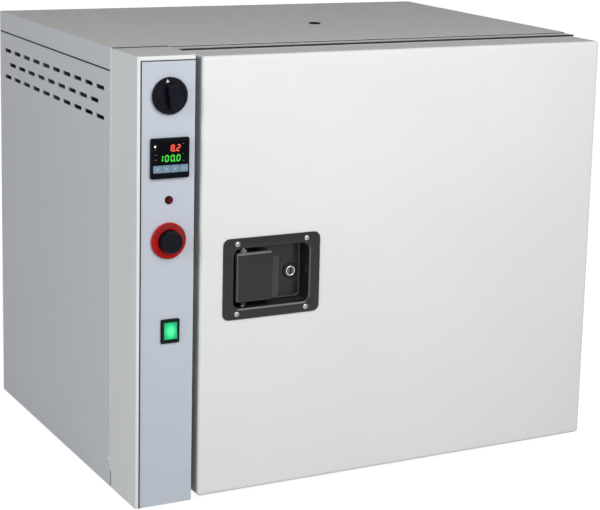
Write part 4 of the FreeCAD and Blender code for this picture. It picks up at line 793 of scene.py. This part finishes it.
def crank_arm():
    """The barrel round the pin and the arm that reaches through the tray's floor."""
    bpy.ops.mesh.primitive_cylinder_add(vertices=32, radius=4.6 * MM, depth=70.0 * MM,
                                        location=at(142, 8, 273.9))
    barrel = started("barrel")
    settle(barrel)
    bpy.ops.mesh.primitive_cube_add(size=MM, location=at(142, 16.5, 275.1))
    arm = started("arm")
    arm.scale = (6, 29, 6)
    settle(arm)
    bpy.ops.object.mode_set(mode="EDIT")
    far = at(0, 20, 0).y
    pick(arm, "VERT", lambda place: place.y > far)
    bpy.ops.transform.resize(value=(0.66, 1, 1))
    bpy.ops.object.mode_set(mode="OBJECT")
    bevelled(arm, 0.5, 2)
    return joined("crank", [barrel, arm])


# Controls

def lit_bar(long, wide):
    """One bar of a display digit, lying along X at the origin and pointed at both ends."""
    bpy.ops.mesh.primitive_circle_add(vertices=6, radius=wide / math.sqrt(3) * MM, fill_type="NGON",
                                      location=(0, 0, 0), rotation=(QUARTER, HALF_TURN / 6, 0))
    bar = started("bar")
    settle(bar)
    bpy.ops.object.mode_set(mode="EDIT")
    for way in (-1, 1):
        pick(bar, "VERT", lambda place: place.x * way > 0.01 * wide * MM)
        bpy.ops.transform.translate(value=(way * (long / 2 - wide / math.sqrt(3)) * MM, 0, 0))
    drawn_out((0, -0.12 * MM, 0))
    return bar


BARS = {"top": (0.5, 1.0, 0), "middle": (0.5, 0.5, 0), "bottom": (0.5, 0.0, 0),
        "upper_left": (0.0, 0.75, 1), "upper_right": (1.0, 0.75, 1),
        "lower_left": (0.0, 0.25, 1), "lower_right": (1.0, 0.25, 1)}
ALL_BARS = tuple(BARS)
DIGITS = {"8": ALL_BARS, "0": tuple(bar for bar in ALL_BARS if bar != "middle"),
          "1": ("upper_right", "lower_right"),
          "2": ("top", "upper_right", "middle", "lower_left", "bottom")}
WINDOW_FRONT = -4.36


def lit_number(name, text, right, low, thick, front):
    """A row of seven-bar digits that ends at its right edge; a point belongs to the digit before it."""
    wide, tall, pitch, slant = 3.7, 6.9, 7.3, 0.08
    across = lit_bar(wide - thick * 0.5, thick)
    upright = lit_bar(tall / 2 - thick * 0.3, thick)
    only(upright)
    bpy.ops.transform.rotate(value=QUARTER, orient_axis="Y", center_override=(0, 0, 0))
    settle(upright)
    pieces = []
    corner = right - wide
    for sign in reversed(text):
        if sign == ".":
            bpy.ops.mesh.primitive_cylinder_add(vertices=12, radius=thick * 0.55 * MM, depth=0.12 * MM,
                                                location=(0, 0, 0), rotation=FACING_FRONT)
            dot = started("point")
            dot.location = at(corner + wide + thick * 0.75, front, low)
            settle(dot)
            pieces.append(dot)
            continue
        for bar in DIGITS[sign]:
            share_x, share_z, standing = BARS[bar]
            place = at(corner + share_x * wide, front, low + share_z * tall)
            pieces.append(copied(upright if standing else across, place))
        corner -= pitch
    for spare in (across, upright):
        bpy.data.objects.remove(spare, do_unlink=True)
    number = joined(name, pieces)
    foot = at(0, 0, low).z
    for vertex in number.data.vertices:
        vertex.co.x += (vertex.co.z - foot) * slant
    return number


def from_bezel(right_of_left, below_top):
    """A place on the controller's face, measured from its upper left corner."""
    low, high = corners_of("controller_case")
    return low.x + right_of_left, high.z - below_top


def controller_display():
    """The lit numbers, each with a glow behind it, the round indicator and the unlit marks."""
    for name, sign, below_top, glow, core in (("display_actual", "8.2", 15.3, RED_GLOW, RED_LIT),
                                              ("display_set", "100.0", 27.3, GREEN_GLOW, GREEN_LIT)):
        right, low = from_bezel(35.4, below_top)
        halo = lit_number(f"{name}_glow", sign, right, low, 2.3, WINDOW_FRONT + 0.07)
        finished(halo, "cabinet", "display_window", glow)
        bars = lit_number(name, sign, right, low, 1.05, WINDOW_FRONT)
        finished(bars, "cabinet", "display_window", core)
    for name, radius, thick, glow in (("indicator_glow", 2.4, 0.2, OLIVE_GLOW),
                                      ("indicator", 1.1, 0.5, PALE_LIT)):
        x, z = from_bezel(4.2, 9.2)
        bpy.ops.mesh.primitive_cylinder_add(vertices=20, radius=radius * MM, depth=thick * MM,
                                            location=at(x, WINDOW_FRONT, z), rotation=FACING_FRONT)
        spot = started(f"display_{name}")
        settle(spot)
        bevelled(spot, thick * 0.3, 2)
        finished(spot, "cabinet", "display_window", glow)
    marks = [small_bar(*from_bezel(x, z), wide, 0.8)
             for x, z, wide in ((4.7, 13.0, 2.6), (4.9, 19.2, 4.4), (4.9, 25.1, 4.6),
                                (40.0, 7.2, 2.4), (39.8, 19.3, 1.8), (40.4, 27.5, 2.4))]
    plates = joined("display_dim_marks", marks)
    finished(plates, "cabinet", "display_window", DIM_INK)


def small_bar(x, z, wide, tall):
    """A short unlit mark in the window."""
    bar = rounded_plate("mark", at(x, WINDOW_FRONT + 0.06, z), wide, tall, tall * 0.3, 3)
    bpy.ops.object.mode_set(mode="EDIT")
    drawn_out((0, -0.08 * MM, 0))
    return bar


def key_signs():
    """A dot and three small arrows, printed on the controller's keys."""
    for number, sides, radius, turn in ((1, 16, 1.3, 0.0), (2, 3, 1.6, -QUARTER),
                                        (3, 3, 1.6, HALF_TURN), (4, 3, 1.6, 0.0)):
        place = front_of(f"controller_key_{number}")
        place.y -= 0.05 * MM
        bpy.ops.mesh.primitive_cylinder_add(vertices=sides, radius=radius * MM, depth=0.1 * MM,
                                            location=place, rotation=(QUARTER, turn, 0))
        sign = started(f"key_sign_{number}")
        settle(sign)
        finished(sign, f"key_{number}", "key_blue", PALE_INK)


def selector_pointer():
    """The white triangle on the selector's skirt, turned with the knob."""
    bpy.ops.mesh.primitive_cylinder_add(vertices=3, radius=2.6 * MM, depth=0.25 * MM,
                                        location=(0, 0, 0), rotation=FACING_FRONT)
    pointer = started("selector_pointer")
    pointer.scale = (0.95, 1, 1)
    settle(pointer)
    rim, tilt = 18.3 * MM, math.radians(-14)
    pointer.data.transform(Matrix.Rotation(tilt, 4, "Y") @ Matrix.Translation((0, 0, rim)))
    centre = middle_of("selector_knob")
    pointer.location = (centre.x, at(0, -5.55, 0).y, centre.z)
    settle(pointer)
    finished(pointer, "selector", "knob_black", WHITE_INK)


def dial_scale():
    """Numbers and ticks round the red dial."""
    pieces = []
    centre = middle_of("limit_dial")
    centre.y = at(0, -4.0, 0).y
    start, pitch, figures = math.radians(-71), math.radians(18), 9
    figure_ring, tick_ring = 18.0 * MM, 20.35 * MM
    for number in range(figures):
        angle = start + number * pitch
        bpy.ops.object.text_add(location=(0, 0, 0), rotation=FACING_FRONT)
        text = bpy.context.object
        text.data.body = str(2 * (number + 3))
        text.data.size = 5.0 * MM
        text.data.offset = 0.2 * MM
        text.data.align_x = "CENTER"
        text.data.align_y = "CENTER"
        text.data.extrude = 0.05 * MM
        text.data.resolution_u = 2
        only(text)
        bpy.ops.object.convert(target="MESH")
        figure = started("figure")
        settle(figure)
        figure.location = (0, 0, figure_ring)
        settle(figure)
        figure.data.transform(Matrix.Rotation(angle, 4, "Y"))
        pieces.append(figure)
    for number in range(2 * figures - 1):
        angle = start + number * pitch / 2
        bpy.ops.mesh.primitive_cube_add(size=MM, location=(0, 0, tick_ring))
        tick = started("tick")
        tick.scale = (0.45, 0.1, 1.1)
        settle(tick)
        tick.data.transform(Matrix.Rotation(angle, 4, "Y"))
        pieces.append(tick)
    scale = joined("dial_scale", pieces)
    scale.location = centre
    settle(scale)
    finished(scale, "limit", "dial_red", DARK_INK)


# Small fittings

def slim_strip(name, low, high, soft):
    """A straight strip between two corners given in millimetres."""
    low, high = Vector(low), Vector(high)
    bpy.ops.mesh.primitive_cube_add(size=MM, location=at(*((low + high) / 2)))
    strip = started(name)
    strip.scale = high - low
    settle(strip)
    bevelled(strip, soft, 3)
    return strip


def corners_of(node):
    """A node's lowest and highest corners in millimetres from the column's lower front corner."""
    return tuple(corner / MM + ORIGIN for corner in box_of(node))


def frame_gap_shade_strip():
    """The black rubber strip on the upper front edge of the front frame, put there as painted shade for the
    gap behind the door's top.
    """
    low, high = corners_of("front_frame")
    strip = slim_strip("frame_gap_shade_strip", (low.x + 0.5, low.y - 0.7, high.z - 1.9),
                       (high.x - 0.5, low.y + 2.8, high.z + 0.15), 0.3)
    finished(strip, "cabinet", "seal_rubber")


def cover_seam_bead():
    """The thin black bead round the top cover, and the painted laps under it on the side sheets."""
    low, high = corners_of("front_frame")
    cover_low, cover_high = corners_of("top_cover")
    strips = [slim_strip("frame_bead", (low.x + 2, high.y - 0.85, high.z),
                         (high.x - 2, high.y - 0.05, high.z + 1.0), 0.28),
              slim_strip("column_bead", (1.0, high.y - 5.6, cover_high.z - 0.1),
                         (low.x - 1, high.y - 0.4, cover_high.z + 0.4), 0.12)]
    for x in (cover_low.x, cover_high.x):
        strips.append(slim_strip("side_bead", (x - 0.16, high.y + 1.5, cover_low.z - 0.7),
                                 (x + 0.16, cover_high.y - 1.5, cover_low.z + 1.4), 0.08))
        lap = slim_strip(f"side_lap_{int(x > low.x)}", (x - 0.1, high.y + 1.5, cover_low.z - 1.95),
                         (x + 0.1, cover_high.y - 1.5, cover_low.z - 0.72), 0.08)
        finished(lap, "cabinet", "cabinet_paint")
    finished(joined("cover_seam_bead", strips), "cabinet", "seal_rubber")


def fascia_groove_shade():
    """The black strip in the groove left of the fascia and above it, as painted shade for that groove, and
    the overlay's lapped edge.
    """
    low, high = corners_of("fascia")
    line, lap, groove = 1.8, 1.6, 1.25
    side = slim_strip("border_side", (low.x - lap - line, -0.1, low.z),
                      (low.x - lap, 0.05, high.z + groove), 0.05)
    above = slim_strip("border_top", (low.x - lap - line, -0.1, high.z + 0.03),
                       (high.x, high.y, high.z + groove), 0.05)
    finished(joined("fascia_groove_shade", [side, above]), "cabinet", "seal_rubber")
    film = slim_strip("fascia_lap", (low.x - lap, -0.1, low.z), (low.x + 0.1, 0.05, high.z), 0.04)
    finished(film, "cabinet", "fascia_film")


def side_fold_trim():
    """The painted edge of the side sheet, that stands a little proud of the column, in the whiter door paint
    as a painted highlight along the fold.
    """
    low, high = corners_of("control_column")
    trim = slim_strip("side_fold_trim", (low.x - 0.9, high.y - 0.5, low.z + 0.6),
                      (low.x + 0.2, high.y + 0.7, high.z - 0.6), 0.1)
    # The whiter door paint is a painted highlight on the fold
    finished(trim, "cabinet", "cabinet_paint", FINISHES["door_paint"])


def port_grommet():
    """The black ring on the edge of the hole in the top cover, and the sleeve that lines the tube below;
    their black, like the tube's bore, is painted shade in the hole.
    """
    tube = middle_of("vent_tube")
    top = box_of("top_cover")[1].z
    rings = []
    for name, radius, tall, rise, wall in (("port_grommet", 7.8, 1.2, 0.6, 0.83),
                                           ("port_sleeve", 6.97, 3.0, -1.2, 0.1)):
        bpy.ops.mesh.primitive_cylinder_add(vertices=48, radius=radius * MM, depth=tall * MM,
                                            location=(tube.x, tube.y, top + rise * MM),
                                            end_fill_type="NOTHING")
        ring = started(name)
        settle(ring)
        thickened(ring, wall)
        rings.append(ring)
    both = joined("port_grommet", rings)
    bevelled(both, 0.03, 2, math.radians(60))
    finished(both, "cabinet", "seal_rubber", PORT_BLACK)


def lock_ring():
    """The polished rolled edge round the face of the lock's barrel."""
    centre = front_of("lock_body")
    bpy.ops.mesh.primitive_torus_add(major_segments=40, minor_segments=12, major_radius=5.6 * MM,
                                     minor_radius=0.75 * MM, location=centre, rotation=FACING_FRONT)
    ring = started("lock_ring")
    settle(ring)
    flatten = Matrix.Translation(centre) @ Matrix.Diagonal((1, 0.7, 1, 1)) @ Matrix.Translation(-centre)
    ring.data.transform(flatten)
    finished(ring, "lock", "bright_chrome")


def turned_screw(place, facing, radius, dome, turn=0.0):
    """A screw head that faces another way: the facing is an angle from the front about the upright axis."""
    head = cross_screw(at(0, 0, 0), radius, dome, turn)
    head.data.transform(Matrix.Rotation(facing, 4, "Z") @ Matrix.Translation(-at(0, 0, 0)))
    head.location = place
    settle(head)
    return head


def side_screw():
    """The small screw low on the seam between the column and the left side."""
    screw = turned_screw(at(0, 89, 34.8), -QUARTER, radius=2.6, dome=1.0)
    finished(screw, "cabinet", "zinc_plate")


def hinge_screws():
    """Four screws in each leaf of the two hinges."""
    for body, x, depths in (("door", 660.0, (37.0, 22.0)), ("cabinet", 663.0, (82.0, 97.0))):
        heads = [turned_screw(at(x, depth, level + rise), QUARTER, radius=3.2, dome=1.1, turn=depth + rise)
                 for level in (82.0, 468.5) for depth in depths for rise in (-18, 18)]
        screws = joined(f"hinge_screws_{body}", heads)
        finished(screws, body, "zinc_plate")


def rear_screws():
    """Ten screws round the edge of the rear panel."""
    places = [(x, z) for x in (14, 224, 436, 646) for z in (12, 505)] + [(14, 258), (646, 258)]
    back = 512
    heads = [turned_screw(at(x, back, z), HALF_TURN, radius=3.2, dome=1.3, turn=x + z) for x, z in places]
    finished(joined("rear_panel_screws", heads), "cabinet", "zinc_plate")


photo_camera()
studio()
floor()
dress_solids()
frame_gap_shade_strip()
cover_seam_bead()
fascia_groove_shade()
side_fold_trim()
port_grommet()
latch_tray()
tray_screws()
paddle()
lock_ring()
controller_display()
key_signs()
selector_pointer()
dial_scale()
side_screw()
hinge_screws()
rear_screws()
